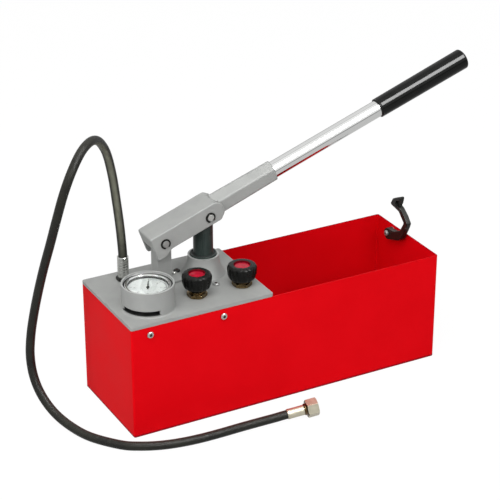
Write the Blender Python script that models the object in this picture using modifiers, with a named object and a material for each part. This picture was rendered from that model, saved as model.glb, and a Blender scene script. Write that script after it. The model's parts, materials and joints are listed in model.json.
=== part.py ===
"""Hydrostatic test pump: a hand pump on a water tank, with lever, gauge, two valves and hose.

Blender 4.5, metres, +Z up.  The origin is the middle of the tank's base, +X runs along the
tank towards the latch hook and +Y to the back.  Every object in the collection
"hydrostatic_test_pump" is one physical piece; the collection "guides" holds the shapes that
are joined to them or cut out of them.
"""
import math

import bmesh
import bpy
from mathutils import Matrix, Vector

# Gaps and working values shared by all pieces
CLEARANCE = 0.0003
OVERRUN = 0.002
OVERLAP = 0.001
MERGE = 0.00001
FINE_STEPS = 36
ROUND_STEPS = 24
SMALL_STEPS = 12

# Tank
TANK_LENGTH = 0.510
TANK_WIDTH = 0.170
TANK_HEIGHT = 0.1731
TANK_WALL = 0.0015
TANK_CORNER = 0.003

# Cover plate, a casting with skirts inside the tank, a gauge guard and a piston boss
PLATE_LENGTH = 0.226
PLATE_THICKNESS = 0.005
PLATE_EDGE = 0.0008
SKIRT_DEPTH = 0.024
SKIRT_THICKNESS = 0.006
SKIRT_END_GAP = 0.006
GUARD_RADIUS = 0.040
GUARD_WALL = 0.0028
GUARD_HEIGHT = 0.038
GUARD_SLOT_HEIGHT = 0.0072
GUARD_SLOT_FOOT = 0.0035
GUARD_SLOT_DEPTH = 0.0138
GUARD_SLOT_ANGLE = math.radians(-137.0)
BOSS_HEIGHT = 0.030
BOSS_TOP_RADIUS = 0.0232
BOSS_BASE_RADIUS = 0.034
BOSS_FLARE = 2.4
BOSS_RINGS = 6

# Pump body, the block under the plate
BODY_LENGTH = 0.192
BODY_INSET = 0.027
BODY_FRONT_GAP = 0.0192
BODY_BACK_GAP = 0.0072
BODY_HEIGHT = 0.030
BODY_EDGE = 0.002
GALLERY_RADIUS = 0.0025
GALLERY_DROP = 0.0187

# Screws: button heads with a socket
SCREW_SHANK = 0.003
SCREW_HEAD = 0.0052
SCREW_HEAD_HEIGHT = 0.0028
SCREW_SOCKET = 0.0020
SCREW_SOCKET_DEPTH = 0.0016
PLATE_SCREW_LENGTH = 0.011
PLATE_SCREW_DROP = 0.0119
PLATE_SCREW_INSETS = (0.029, 0.145)
BODY_SCREW_LENGTH = 0.018
BODY_SCREW_INSETS = (0.135, 0.1662)
BODY_SCREW_SIDE_SHARES = (0.264706, -0.123529)

# Barrel, foot valve and suction line
BARREL_RADIUS = 0.020
BARREL_BORE = 0.01505
BARREL_FLANGE = 0.024
BARREL_FLANGE_HEIGHT = 0.005
COLLAR_RADIUS = 0.0196
COLLAR_HEIGHT = 0.011
COLLAR_LIP = 0.0022
WIPER_RADIUS = 0.0172
WIPER_HEIGHT = 0.0035
FOOT_HEIGHT = 0.028
FOOT_SPIGOT_HEIGHT = 0.005
FOOT_SPIGOT_BORE = 0.011
FOOT_SEAT_RADIUS = 0.003
FOOT_SEAT_THICKNESS = 0.003
FOOT_CHAMBER_RADIUS = 0.006
SUCTION_BALL_RADIUS = 0.0045
SUCTION_PIPE_RADIUS = 0.005
SUCTION_PIPE_BORE = 0.0035
SUCTION_SOCKET_DEPTH = 0.009
SUCTION_RUN = 0.0105
STRAINER_RADIUS = 0.012
STRAINER_WALL = 0.0015
STRAINER_HEIGHT = 0.028
STRAINER_FLOOR_GAP = 0.004
STRAINER_SLOTS = 6
STRAINER_SLOT_WIDTH = 0.004
STRAINER_PIPE_REACH = 0.014
DELIVERY_PIPE_RADIUS = 0.0045
DELIVERY_PIPE_RUN = 0.049
DELIVERY_BEND = 0.012
DELIVERY_BEND_POINTS = 6
DELIVERY_PORT_DEPTH = 0.016
DELIVERY_PORT_REACH = 0.006
DELIVERY_BALL_RADIUS = 0.004

# Piston, its seal and the slotted eye on top
PISTON_INSET = 0.169
PISTON_SIDE_SHARE = 0.147059
PISTON_RADIUS = 0.01475
PISTON_STANDOFF = 0.0448
PISTON_SPIGOT_RADIUS = 0.008
PISTON_SPIGOT_LENGTH = 0.012
SEAL_HEIGHT = 0.006
SEAL_RADIUS = 0.0148
SEAL_NUT_RADIUS = 0.0118
EYE_THICKNESS = 0.022
EYE_WALL = 0.0033
EYE_FOOT = 0.004
EYE_CORNER = 0.009
SLOT_DROP = 0.0014

# Lever: a post with a pivot pin, a cast head, a tube and a grip
PIVOT_INSET = 0.098
PIVOT_RISE = 0.0706
LEVER_ANGLE = math.radians(19.6)
LEVER_RISE = math.radians(15.0)
LEVER_FALL = math.radians(20.0)
PIN_SPACING = 0.077
PIN_RADIUS = 0.005
PIN_PROUD = 0.0008
CLIP_RADIUS = 0.0078
CLIP_THICKNESS = 0.0012
HEAD_WIDTH = 0.043
HEAD_BACK = 0.019
HEAD_ROOF = 0.018
HEAD_CHEEK = 0.0135
HEAD_EAR = 0.021
HEAD_EAR_END = 0.006
HEAD_LENGTH = 0.1015
HEAD_NOSE = 0.009
HEAD_CORNER = 0.0035
HEAD_EDGE = 0.0018
ROOF_THICKNESS = 0.005
CHANNEL_WIDTH = 0.030
CHANNEL_BACK = 0.014
CHANNEL_END = 0.0988
CHANNEL_MOUTH = 0.001
SOCKET_OFFSET = 0.002
SOCKET_START = 0.092
SOCKET_END = 0.198
SOCKET_HALF_WIDTH = 0.0175
SOCKET_HALF_HEIGHT = 0.0168
SOCKET_RIDGE_RISE = 0.0055
SOCKET_TAPER_SHARE = 0.93
SOCKET_EDGE = 0.002
SOCKET_BORE_DEPTH = 0.070
TUBE_RADIUS = 0.0127
TUBE_WALL = 0.002
GRIP_START = 0.3885
GRIP_LENGTH = 0.163
GRIP_RADIUS = 0.0150
GRIP_END_RADIUS = 0.0158
GRIP_LIP = 0.001
GRIP_CROWN = 0.006
GRIP_CAP = 0.006
GRIP_CROWN_POINTS = 5
SET_SCREW_RADIUS = 0.003
SET_SCREW_INSET = 0.030
POST_OFFSET = 0.0028
POST_LENGTH = 0.0235
POST_THICKNESS = 0.022
POST_EDGE = 0.002
POST_CROWN_DROP = 0.00075
POST_FOOT_LENGTH = 0.060
POST_FOOT_WIDTH = 0.030
POST_FOOT_HEIGHT = 0.003
POST_SCREW_REACH = (0.0245, 0.0088)
POST_SCREW_LENGTH = 0.010
POST_SCREW_HEAD = 0.003
POST_SCREW_SHANK = 0.002

# Gauge
GAUGE_INSET = 0.050
GAUGE_SIDE_SHARE = -0.211765
GAUGE_STEM_RADIUS = 0.006
GAUGE_STEM_DROP = 0.018
GAUGE_HEX = 0.014
GAUGE_HEX_HEIGHT = 0.006
CASE_RADIUS = 0.031
CASE_WALL = 0.0012
CASE_FLOOR = 0.0015
CASE_HEIGHT = 0.0246
MOVEMENT_WIDTH = 0.014
MOVEMENT_HEIGHT = 0.0192
DIAL_RADIUS = 0.0293
DIAL_THICKNESS = 0.0008
GLASS_THICKNESS = 0.002
BEZEL_WALL = 0.0024
BEZEL_LIP = 0.0016
BEZEL_LIP_RADIUS = 0.0296
BEZEL_SKIRT = 0.010
ARBOR_RADIUS = 0.0008
ARBOR_HOLE = 0.0013
ARBOR_DROP = 0.006
POINTER_THICKNESS = 0.0006
POINTER_HUB = 0.0024
POINTER_LENGTH = 0.022
POINTER_TAIL = 0.008
POINTER_WIDTH = 0.0026
POINTER_TIP_SHARE = 0.25
POINTER_ANGLE = math.radians(63.0)
POINTER_LIFT = 0.0008
BOURDON_RADIUS = 0.020
BOURDON_TUBE = 0.0022
BOURDON_START = math.radians(0.0)
BOURDON_SWEEP = math.radians(270.0)
BOURDON_POINTS = 16

# Valves: the same parts twice
PRESSURE_VALVE_INSET = 0.126
PRESSURE_VALVE_SIDE_SHARE = -0.229412
RELEASE_VALVE_INSET = 0.199
RELEASE_VALVE_SIDE_SHARE = -0.232353
VALVE_PITCH = 0.0015
PRESSURE_VALVE_TURNS = 2.0
RELEASE_VALVE_TURNS = 0.0
BONNET_HEX = 0.0262
BONNET_HEX_HEIGHT = 0.006
BONNET_NECK_RADIUS = 0.0105
BONNET_HEIGHT = 0.0085
BONNET_STEM_RADIUS = 0.009
BONNET_STEM_LENGTH = 0.014
BONNET_SOCKET_DEPTH = 0.0129
SPINDLE_RADIUS = 0.004
SPINDLE_TIP = 0.0015
SPINDLE_TIP_LENGTH = 0.004
KNOB_HEIGHT = 0.0235
KNOB_GAP = 0.0010
KNOB_RADIUS = 0.0219
KNOB_FLUTES = 14
KNOB_FLUTE_DEPTH = 0.0009
KNOB_POINTS_PER_FLUTE = 4
KNOB_HEIGHT_SHARES = (0.0, 0.08, 0.45, 0.86, 1.0)
KNOB_RADIUS_SHARES = (0.80, 0.835, 0.93, 1.0, 0.955)
KNOB_FLUTE_SHARES = (0.2, 1.0, 1.0, 1.0, 0.1)
KNOB_BORE_DEPTH = 0.014
KNOB_RECESS_RADIUS = 0.0131
KNOB_RECESS_DEPTH = 0.0032
CAP_THICKNESS = 0.0016

# Hose, its fittings and the union nut at its end
HOSE_INSET = 0.0545
HOSE_SIDE_SHARE = 0.341176
HOSE_FLOOR = 0.0070
HOSE_RADIUS = 0.0066
HOSE_STEM_RADIUS = 0.006
HOSE_STEM_DROP = 0.018
HOSE_NUT_HEX = 0.019
HOSE_NUT_HEIGHT = 0.005
FERRULE_RADIUS = 0.0084
FERRULE_HEIGHT = 0.0325
FERRULE_EDGE = 0.001
HOSE_POINT_SPACING = 0.030
HOSE_STUB = 0.008
HOSE_BEVEL_RESOLUTION = 3
HOSE_CURVE_STEPS = 24
END_FERRULE_RADIUS = 0.0077
END_FERRULE_LENGTH = 0.0280
NIPPLE_COLLAR_RADIUS = 0.0087
NIPPLE_COLLAR_LENGTH = 0.0008
NIPPLE_NECK_RADIUS = 0.006
NIPPLE_HEAD_RADIUS = 0.0095
NIPPLE_HEAD_LENGTH = 0.003
UNION_HEX = 0.024
UNION_LENGTH = 0.0168
UNION_BACK = 0.0035
UNION_BORE = 0.0103
UNION_EDGE = 0.0012
UNION_TURN = math.radians(-18.0)
GASKET_BORE = 0.0045
GASKET_THICKNESS = 0.0015

# Route of the hose's centreline, chosen by hand, from its fitting to the end ferrule
HOSE_ROUTE = (
    (-0.2005, 0.0580, 0.2168), (-0.2010, 0.0630, 0.2620), (-0.2015, 0.0720, 0.3010),
    (-0.2035, 0.0780, 0.3360), (-0.2100, 0.0785, 0.3690), (-0.2205, 0.0720, 0.3900),
    (-0.2345, 0.0600, 0.4040), (-0.2520, 0.0445, 0.4090), (-0.2720, 0.0285, 0.4030),
    (-0.2915, 0.0165, 0.3830), (-0.3060, 0.0133, 0.3540), (-0.3160, 0.0180, 0.3170),
    (-0.3235, 0.0280, 0.2765), (-0.3310, 0.0393, 0.2350), (-0.3380, 0.0488, 0.1935),
    (-0.3443, 0.0545, 0.1563), (-0.3495, 0.0565, 0.1240), (-0.3530, 0.0545, 0.0930),
    (-0.3528, 0.0463, 0.0635), (-0.3482, 0.0310, 0.0383), (-0.3392, 0.0078, 0.0188),
    (-0.3275, -0.0240, 0.0090), (-0.3125, -0.0620, 0.0070), (-0.2840, -0.1010, 0.0070),
    (-0.2610, -0.1175, 0.0070), (-0.2350, -0.1290, 0.0070), (-0.2065, -0.1360, 0.0070),
    (-0.1760, -0.1395, 0.0070), (-0.1445, -0.1403, 0.0070), (-0.1120, -0.1400, 0.0070),
    (-0.0800, -0.1403, 0.0070), (-0.0580, -0.1413, 0.0074), (-0.0386, -0.1446, 0.0098),
)
UNION_CENTRE = (0.0023, -0.1537, 0.0159)

# Latch hook on the right end wall
HOOK_SIDE_SHARE = 0.232353
HOOK_DROP = 0.0116
HOOK_THICKNESS = 0.008
HOOK_REACH = 0.073
HOOK_BOSS = 0.0092
HOOK_CORNER = 0.0015
HOOK_EDGE = 0.0015
HOOK_WASHER_THICKNESS = 0.0016
HOOK_WASHER_RADIUS = 0.0085
HOOK_SCREW_HEAD = 0.0045
HOOK_SCREW_HEAD_HEIGHT = 0.0035
HOOK_NUT_HEX = 0.010
HOOK_NUT_HEIGHT = 0.005
HOOK_OUTLINE_SHARES = (
    (-0.425, -0.006), (-0.520, 0.062), (-0.594, 0.190), (-0.653, 0.285), (-0.718, 0.420),
    (-0.745, 0.500), (-0.629, 0.630), (-0.458, 0.756), (-0.377, 0.781), (-0.415, 0.835),
    (-0.452, 0.975), (-0.424, 1.0), (-0.171, 0.878), (-0.090, 0.744), (-0.126, 0.708),
    (-0.259, 0.690), (-0.411, 0.663), (-0.490, 0.589), (-0.607, 0.484), (-0.590, 0.434),
    (-0.470, 0.237), (-0.266, 0.138),
)

# Heights and faces that several pieces share
PLATE_BOTTOM = TANK_HEIGHT + CLEARANCE
PLATE_TOP = PLATE_BOTTOM + PLATE_THICKNESS
PLATE_LEFT = -TANK_LENGTH / 2
PLATE_CENTRE_X = PLATE_LEFT + PLATE_LENGTH / 2
INNER_HALF_WIDTH = TANK_WIDTH / 2 - TANK_WALL
SKIRT_OUTER = INNER_HALF_WIDTH - CLEARANCE
SKIRT_INNER = SKIRT_OUTER - SKIRT_THICKNESS
SEAT = PLATE_TOP + CLEARANCE
BODY_TOP = PLATE_BOTTOM - CLEARANCE
BODY_BOTTOM = BODY_TOP - BODY_HEIGHT
BOSS_TOP = PLATE_TOP + BOSS_HEIGHT
COLLAR_TOP = BOSS_TOP + COLLAR_LIP
BARREL_TOP = COLLAR_TOP - COLLAR_HEIGHT - CLEARANCE
STRAINER_BOTTOM = TANK_WALL + STRAINER_FLOOR_GAP
STRAINER_TOP = STRAINER_BOTTOM + STRAINER_HEIGHT
FOOT_BOTTOM = STRAINER_TOP + SUCTION_RUN
FOOT_TOP = FOOT_BOTTOM + FOOT_HEIGHT
BARREL_BOTTOM = FOOT_TOP + CLEARANCE
FOOT_SEAT = FOOT_BOTTOM + SUCTION_SOCKET_DEPTH + FOOT_SEAT_THICKNESS
INNER_END = TANK_LENGTH / 2 - TANK_WALL
PIN_HALF_LENGTH = HEAD_WIDTH / 2 + CLEARANCE + CLIP_THICKNESS + PIN_PROUD
HOSE_NUT_TOP = SEAT + HOSE_NUT_HEIGHT
FERRULE_BOTTOM = HOSE_NUT_TOP + CLEARANCE
FERRULE_TOP = FERRULE_BOTTOM + FERRULE_HEIGHT


def plate_spot(inset, side_share):
    """A place on the plate: from its left end, and a share of its width from the middle."""
    return PLATE_LEFT + inset, TANK_WIDTH * side_share


PISTON_AXIS = plate_spot(PISTON_INSET, PISTON_SIDE_SHARE)
PIVOT = (*plate_spot(PIVOT_INSET, PISTON_SIDE_SHARE), PLATE_TOP + PIVOT_RISE)
GAUGE_AXIS = plate_spot(GAUGE_INSET, GAUGE_SIDE_SHARE)
PRESSURE_VALVE = plate_spot(PRESSURE_VALVE_INSET, PRESSURE_VALVE_SIDE_SHARE)
RELEASE_VALVE = plate_spot(RELEASE_VALVE_INSET, RELEASE_VALVE_SIDE_SHARE)
HOSE_AXIS = plate_spot(HOSE_INSET, HOSE_SIDE_SHARE)
HOOK_PIVOT = (TANK_WIDTH * HOOK_SIDE_SHARE, TANK_HEIGHT - HOOK_DROP)


# Scene and materials
def clear_scene():
    """Remove what the scene holds."""
    for item in list(bpy.data.objects):
        bpy.data.objects.remove(item, do_unlink=True)
    for group in list(bpy.data.collections):
        bpy.data.collections.remove(group)


def new_collection(name):
    """Make a collection in the scene."""
    group = bpy.data.collections.new(name)
    bpy.context.scene.collection.children.link(group)
    return group


def make_material(name, color, roughness, metallic=0.0):
    """Make a Principled material."""
    finish = bpy.data.materials.new(name)
    finish.use_nodes = True
    shader = finish.node_tree.nodes["Principled BSDF"]
    shader.inputs["Base Color"].default_value = (*color, 1.0)
    shader.inputs["Roughness"].default_value = roughness
    shader.inputs["Metallic"].default_value = metallic
    finish.diffuse_color = (*color, 1.0)
    return finish


clear_scene()
PARTS = new_collection("hydrostatic_test_pump")
GUIDES = new_collection("guides")
RED_PAINT = make_material("red_paint", (0.70, 0.004, 0.006), 0.35)
GREY_PAINT = make_material("grey_paint", (0.45, 0.46, 0.45), 0.45)
CHROME = make_material("chrome", (0.80, 0.80, 0.81), 0.12, 1.0)
STEEL = make_material("steel", (0.60, 0.60, 0.58), 0.30, 1.0)
DARK_STEEL = make_material("dark_steel", (0.05, 0.06, 0.07), 0.40, 0.6)
PISTON_GREY = make_material("piston_grey", (0.10, 0.13, 0.15), 0.40, 0.3)
BLACK_PLASTIC = make_material("black_plastic", (0.012, 0.012, 0.012), 0.35)
RED_PLASTIC = make_material("red_plastic", (0.60, 0.01, 0.03), 0.30)
BLACK_RUBBER = make_material("black_rubber", (0.015, 0.015, 0.014), 0.60)
BRASS = make_material("brass", (0.55, 0.36, 0.14), 0.30, 1.0)
NICKEL = make_material("nickel", (0.66, 0.60, 0.48), 0.28, 1.0)
WHITE_CARD = make_material("white_card", (0.80, 0.80, 0.78), 0.60)
CLEAR_GLASS = make_material("clear_glass", (0.85, 0.90, 0.90), 0.05)


# Meshes
def mesh_from(bm, name):
    """Turn a bmesh into a mesh with smooth round faces."""
    bmesh.ops.recalc_face_normals(bm, faces=bm.faces[:])
    mesh = bpy.data.meshes.new(name)
    bm.to_mesh(mesh)
    bm.free()
    mesh.shade_smooth()
    mesh.set_sharp_from_angle(angle=math.radians(30.0))
    return mesh


def place(mesh, name, finish, location=(0, 0, 0), rotation=(0, 0, 0), parent=None):
    """Add a piece of the pump."""
    piece = bpy.data.objects.new(name, mesh)
    PARTS.objects.link(piece)
    mesh.materials.clear()
    mesh.materials.append(finish)
    piece.location = location
    piece.rotation_euler = rotation
    piece.parent = parent
    return piece


def guide(mesh, name, location=(0, 0, 0), rotation=(0, 0, 0), parent=None):
    """Add a shape that is only joined or cut, and isn't a piece itself."""
    shape = bpy.data.objects.new("guide_" + name, mesh)
    GUIDES.objects.link(shape)
    shape.location = location
    shape.rotation_euler = rotation
    shape.parent = parent
    shape.hide_render = True
    shape.display_type = "WIRE"
    return shape


def axis_empty(name, location, rotation=(0, 0, 0)):
    """Mark a joint's axis, which the pieces that turn on it are parented to."""
    empty = bpy.data.objects.new(name, None)
    PARTS.objects.link(empty)
    empty.location = location
    empty.rotation_euler = rotation
    return empty


def boolean(target, tool, operation):
    """Join a guide to a piece, or cut it out."""
    modifier = target.modifiers.new(operation.lower() + "_" + tool.name, "BOOLEAN")
    modifier.object = tool
    modifier.operation = operation
    modifier.solver = "EXACT"


def cut(target, tool):
    """Cut a guide out of a piece."""
    boolean(target, tool, "DIFFERENCE")


def join(target, tool):
    """Join a guide to a piece."""
    boolean(target, tool, "UNION")


def box_mesh(name, x_range, y_range, z_range, upright_round=0.0, edge=0.0, round_steps=3):
    """A box between the ranges, with its upright edges and then its other edges rounded."""
    bm = bmesh.new()
    bmesh.ops.create_cube(bm, size=1)
    ranges = (x_range, y_range, z_range)
    size = [high - low for low, high in ranges]
    middle = [(high + low) / 2 for low, high in ranges]
    bmesh.ops.scale(bm, vec=size, verts=bm.verts)
    bmesh.ops.translate(bm, vec=middle, verts=bm.verts)
    if upright_round:
        upright = [e for e in bm.edges if abs(e.verts[0].co.z - e.verts[1].co.z) > MERGE]
        bmesh.ops.bevel(bm, geom=upright, offset=upright_round, segments=round_steps,
                        profile=0.5, affect="EDGES")
    if edge:
        rim = [e for e in bm.edges if e.is_manifold and e.calc_face_angle() > math.radians(60.0)]
        bmesh.ops.bevel(bm, geom=rim, offset=edge, segments=1, profile=0.5, affect="EDGES")
    return mesh_from(bm, name)


def rod_mesh(name, radius, length, steps=ROUND_STEPS):
    """A cylinder that stands on the local origin."""
    bm = bmesh.new()
    bmesh.ops.create_cone(bm, cap_ends=True, segments=steps, radius1=radius, radius2=radius,
                          depth=length)
    bmesh.ops.translate(bm, vec=(0, 0, length / 2), verts=bm.verts)
    return mesh_from(bm, name)


def hex_mesh(name, across_flats, length, edge=0.0):
    """A hexagonal bar that stands on the local origin, with its end edges bevelled."""
    bm = bmesh.new()
    corner = across_flats / math.sqrt(3.0)
    bmesh.ops.create_cone(bm, cap_ends=True, segments=6, radius1=corner, radius2=corner,
                          depth=length)
    bmesh.ops.translate(bm, vec=(0, 0, length / 2), verts=bm.verts)
    if edge:
        ends = [e for e in bm.edges if abs(e.verts[0].co.z - e.verts[1].co.z) < MERGE]
        bmesh.ops.bevel(bm, geom=ends, offset=edge, segments=1, profile=0.5, affect="EDGES")
    return mesh_from(bm, name)


def profile_mesh(name, profile, closed):
    """The edges of a turned piece: radius and height, down the outer side."""
    bm = bmesh.new()
    points = [bm.verts.new((radius, 0, height)) for radius, height in profile]
    for first, second in zip(points, points[1:]):
        bm.edges.new((first, second))
    if closed:
        bm.edges.new((points[-1], points[0]))
    mesh = bpy.data.meshes.new(name)
    bm.to_mesh(mesh)
    bm.free()
    return mesh


def add_screw(piece, steps):
    """Turn a profile about its own Z axis."""
    modifier = piece.modifiers.new("turn", "SCREW")
    modifier.axis = "Z"
    modifier.steps = steps
    modifier.render_steps = steps
    modifier.use_merge_vertices = True
    modifier.merge_threshold = MERGE


def turned(name, profile, finish, steps=ROUND_STEPS, closed=False, **where):
    """A turned piece; a profile that meets the axis is solid, a closed one is a ring."""
    piece = place(profile_mesh(name, profile, closed), name, finish, **where)
    add_screw(piece, steps)
    return piece


def turned_guide(name, profile, steps=ROUND_STEPS, closed=False, **where):
    """A turned guide."""
    shape = guide(profile_mesh(name, profile, closed), name, **where)
    add_screw(shape, steps)
    return shape


def ring_profile(inner, outer, bottom, top):
    """The closed profile of a plain ring."""
    return [(inner, top), (outer, top), (outer, bottom), (inner, bottom)]


def bored(target, name, radius, location, length, rotation=(0, 0, 0), steps=ROUND_STEPS,
          parent=None):
    """Cut a round hole that starts at a place and runs along its own Z axis."""
    tool = guide(rod_mesh(name, radius, length, steps), name, location, rotation, parent)
    cut(target, tool)


def rounded_outline(corners, radius, steps=4):
    """Round each corner of an outline, where its sides leave room for it."""
    points = []
    count = len(corners)
    for index, corner in enumerate(corners):
        here = Vector(corner)
        before = Vector(corners[index - 1]) - here
        after = Vector(corners[(index + 1) % count]) - here
        turn = before.angle(after)
        reach = min(radius / math.tan(turn / 2), before.length / 2, after.length / 2)
        start = here + before.normalized() * reach
        end = here + after.normalized() * reach
        for step in range(steps + 1):
            share = step / steps
            points.append(start.lerp(here, share).lerp(here.lerp(end, share), share))
    return points


def circle_outline(centre, radius, steps=SMALL_STEPS):
    """The points of a circle."""
    return [Vector((centre[0] + radius * math.cos(turn), centre[1] + radius * math.sin(turn)))
            for turn in (math.tau * step / steps for step in range(steps))]


def outline_mesh(name, loops, thickness, edge=0.0):
    """A flat outline with holes, extruded evenly to both sides of its plane."""
    curve = bpy.data.curves.new(name, "CURVE")
    curve.dimensions = "2D"
    curve.fill_mode = "BOTH"
    curve.extrude = thickness / 2 - edge
    curve.bevel_depth = edge
    curve.bevel_resolution = 0
    curve.offset = -edge
    for loop in loops:
        spline = curve.splines.new("POLY")
        spline.points.add(len(loop) - 1)
        for point, target in zip(loop, spline.points):
            target.co = (point[0], point[1], 0, 1)
        spline.use_cyclic_u = True
    holder = bpy.data.objects.new(name, curve)
    bpy.context.scene.collection.objects.link(holder)
    graph = bpy.context.evaluated_depsgraph_get()
    mesh = bpy.data.meshes.new_from_object(holder.evaluated_get(graph))
    mesh.transform(holder.matrix_world)
    bpy.data.objects.remove(holder, do_unlink=True)
    bm = bmesh.new()
    bm.from_mesh(mesh)
    bmesh.ops.remove_doubles(bm, verts=bm.verts, dist=MERGE)
    return mesh_from(bm, name)


def upright(mesh):
    """Stand a flat outline up, so that its plane is XZ and its thickness runs along Y."""
    mesh.transform(Matrix.Rotation(math.radians(90.0), 4, "X"))
    return mesh


def tube_object(name, points, radius, resolution, finish):
    """A round bar or hose along points, with closed ends."""
    curve = bpy.data.curves.new(name, "CURVE")
    curve.dimensions = "3D"
    curve.bevel_depth = radius
    curve.bevel_resolution = resolution
    curve.use_fill_caps = True
    spline = curve.splines.new("POLY")
    spline.points.add(len(points) - 1)
    for point, target in zip(points, spline.points):
        target.co = (*point, 1)
    piece = bpy.data.objects.new(name, curve)
    PARTS.objects.link(piece)
    curve.materials.append(finish)
    return piece


def turn_to(direction):
    """The rotation that points a piece's Z axis along a direction."""
    return Vector(direction).to_track_quat("Z", "Y").to_euler()


# Screws
def button_screw(name, location, direction, head, head_height, shank, length, finish,
                 parent=None):
    """A screw whose shank runs along a direction from its seat, with a socket in its head."""
    socket = min(SCREW_SOCKET, head / 2)
    depth = min(SCREW_SOCKET_DEPTH, head_height / 2 + head_height / 4)
    crown = head_height / 4
    profile = [(0, -head_height + depth), (socket, -head_height + depth),
               (socket, -head_height), (head - crown, -head_height), (head, -head_height + crown),
               (head, 0), (shank, 0), (shank, length), (0, length)]
    return turned(name, profile[::-1], finish, SMALL_STEPS, location=location,
                  rotation=turn_to(direction), parent=parent)


def plate_screw_seats():
    """Name, place and direction of the four screws that hold the plate's skirts."""
    height = PLATE_BOTTOM - PLATE_SCREW_DROP
    face = TANK_WIDTH / 2 + CLEARANCE
    for end, inset in zip(("left", "right"), PLATE_SCREW_INSETS):
        for side, sign in (("front", -1), ("back", 1)):
            yield side + "_" + end, (PLATE_LEFT + inset, sign * face, height), (0, -sign, 0)


def body_screw_seats():
    """Name and place of the screws that hold the pump body to the plate."""
    for end, inset, share in zip(("left", "right"), BODY_SCREW_INSETS, BODY_SCREW_SIDE_SHARES):
        yield end, (*plate_spot(inset, share), SEAT)


def post_screw_seats():
    """Name and place of the two screws in the post's foot."""
    foot_top = SEAT + POST_FOOT_HEIGHT + CLEARANCE
    for side, sign in (("front", -1), ("back", 1)):
        yield side, (PIVOT[0] + POST_OFFSET + sign * POST_SCREW_REACH[0],
                     PIVOT[1] + sign * POST_SCREW_REACH[1], foot_top)


def build_screws():
    """All the screws of the plate, the pump body and the post."""
    for name, seat, direction in plate_screw_seats():
        button_screw("plate_screw_" + name, seat, direction, SCREW_HEAD, SCREW_HEAD_HEIGHT,
                     SCREW_SHANK, PLATE_SCREW_LENGTH, STEEL)
    finishes = {"left": DARK_STEEL, "right": STEEL}
    for name, seat in body_screw_seats():
        button_screw("body_screw_" + name, seat, (0, 0, -1), SCREW_HEAD, SCREW_HEAD_HEIGHT,
                     SCREW_SHANK, BODY_SCREW_LENGTH, finishes[name])
    for name, seat in post_screw_seats():
        button_screw("post_screw_" + name, seat, (0, 0, -1), POST_SCREW_HEAD,
                     SCREW_HEAD_HEIGHT, POST_SCREW_SHANK, POST_SCREW_LENGTH, STEEL)


# Tank
def build_tank():
    """The sheet-metal tank, open on top, with holes for the plate screws and the hook."""
    bm = bmesh.new()
    bmesh.ops.create_cube(bm, size=1)
    bmesh.ops.scale(bm, vec=(TANK_LENGTH, TANK_WIDTH, TANK_HEIGHT), verts=bm.verts)
    bmesh.ops.translate(bm, vec=(0, 0, TANK_HEIGHT / 2), verts=bm.verts)
    top = [face for face in bm.faces if face.normal.z > 0.5]
    bmesh.ops.delete(bm, geom=top, context="FACES_ONLY")
    corners = [e for e in bm.edges if abs(e.verts[0].co.z - e.verts[1].co.z) > MERGE]
    bmesh.ops.bevel(bm, geom=corners, offset=TANK_CORNER, segments=3, profile=0.5,
                    affect="EDGES")
    tank = place(mesh_from(bm, "tank"), "tank", RED_PAINT)
    shell = tank.modifiers.new("wall", "SOLIDIFY")
    shell.thickness = TANK_WALL
    shell.offset = -1
    shell.use_even_offset = True
    for name, seat, direction in plate_screw_seats():
        start = Vector(seat) - Vector(direction) * OVERRUN
        bored(tank, "tank_hole_" + name, SCREW_SHANK + CLEARANCE, start,
              TANK_WALL + CLEARANCE + 2 * OVERRUN, turn_to(direction), SMALL_STEPS)
    bored(tank, "tank_hole_hook", SCREW_SHANK + CLEARANCE,
          (INNER_END - OVERRUN, *HOOK_PIVOT), TANK_WALL + 2 * OVERRUN,
          turn_to((1, 0, 0)), SMALL_STEPS)


# Cover plate
def boss_profile():
    """The outer profile of the piston boss, which flares out to the plate."""
    profile = [(0, BOSS_TOP)]
    for ring in range(BOSS_RINGS + 1):
        share = ring / BOSS_RINGS
        flare = (BOSS_BASE_RADIUS - BOSS_TOP_RADIUS) * share ** BOSS_FLARE
        drop = (BOSS_HEIGHT + OVERLAP) * share
        profile.append((BOSS_TOP_RADIUS + flare, BOSS_TOP - drop))
    profile.append((0, PLATE_TOP - OVERLAP))
    return profile


def add_skirts(plate):
    """Two ribs under the plate, inside the tank's long walls, which take the plate screws."""
    ends = (PLATE_LEFT + SKIRT_END_GAP, PLATE_LEFT + PLATE_LENGTH - SKIRT_END_GAP)
    heights = (PLATE_BOTTOM - SKIRT_DEPTH, PLATE_BOTTOM + OVERLAP)
    for side, sign in (("front", -1), ("back", 1)):
        faces = sorted((sign * SKIRT_OUTER, sign * SKIRT_INNER))
        join(plate, guide(box_mesh("skirt_" + side, ends, faces, heights), "skirt_" + side))
    for name, seat, direction in plate_screw_seats():
        bored(plate, "skirt_hole_" + name, SCREW_SHANK + CLEARANCE, seat,
              PLATE_SCREW_LENGTH + OVERRUN, turn_to(direction), SMALL_STEPS)


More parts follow.
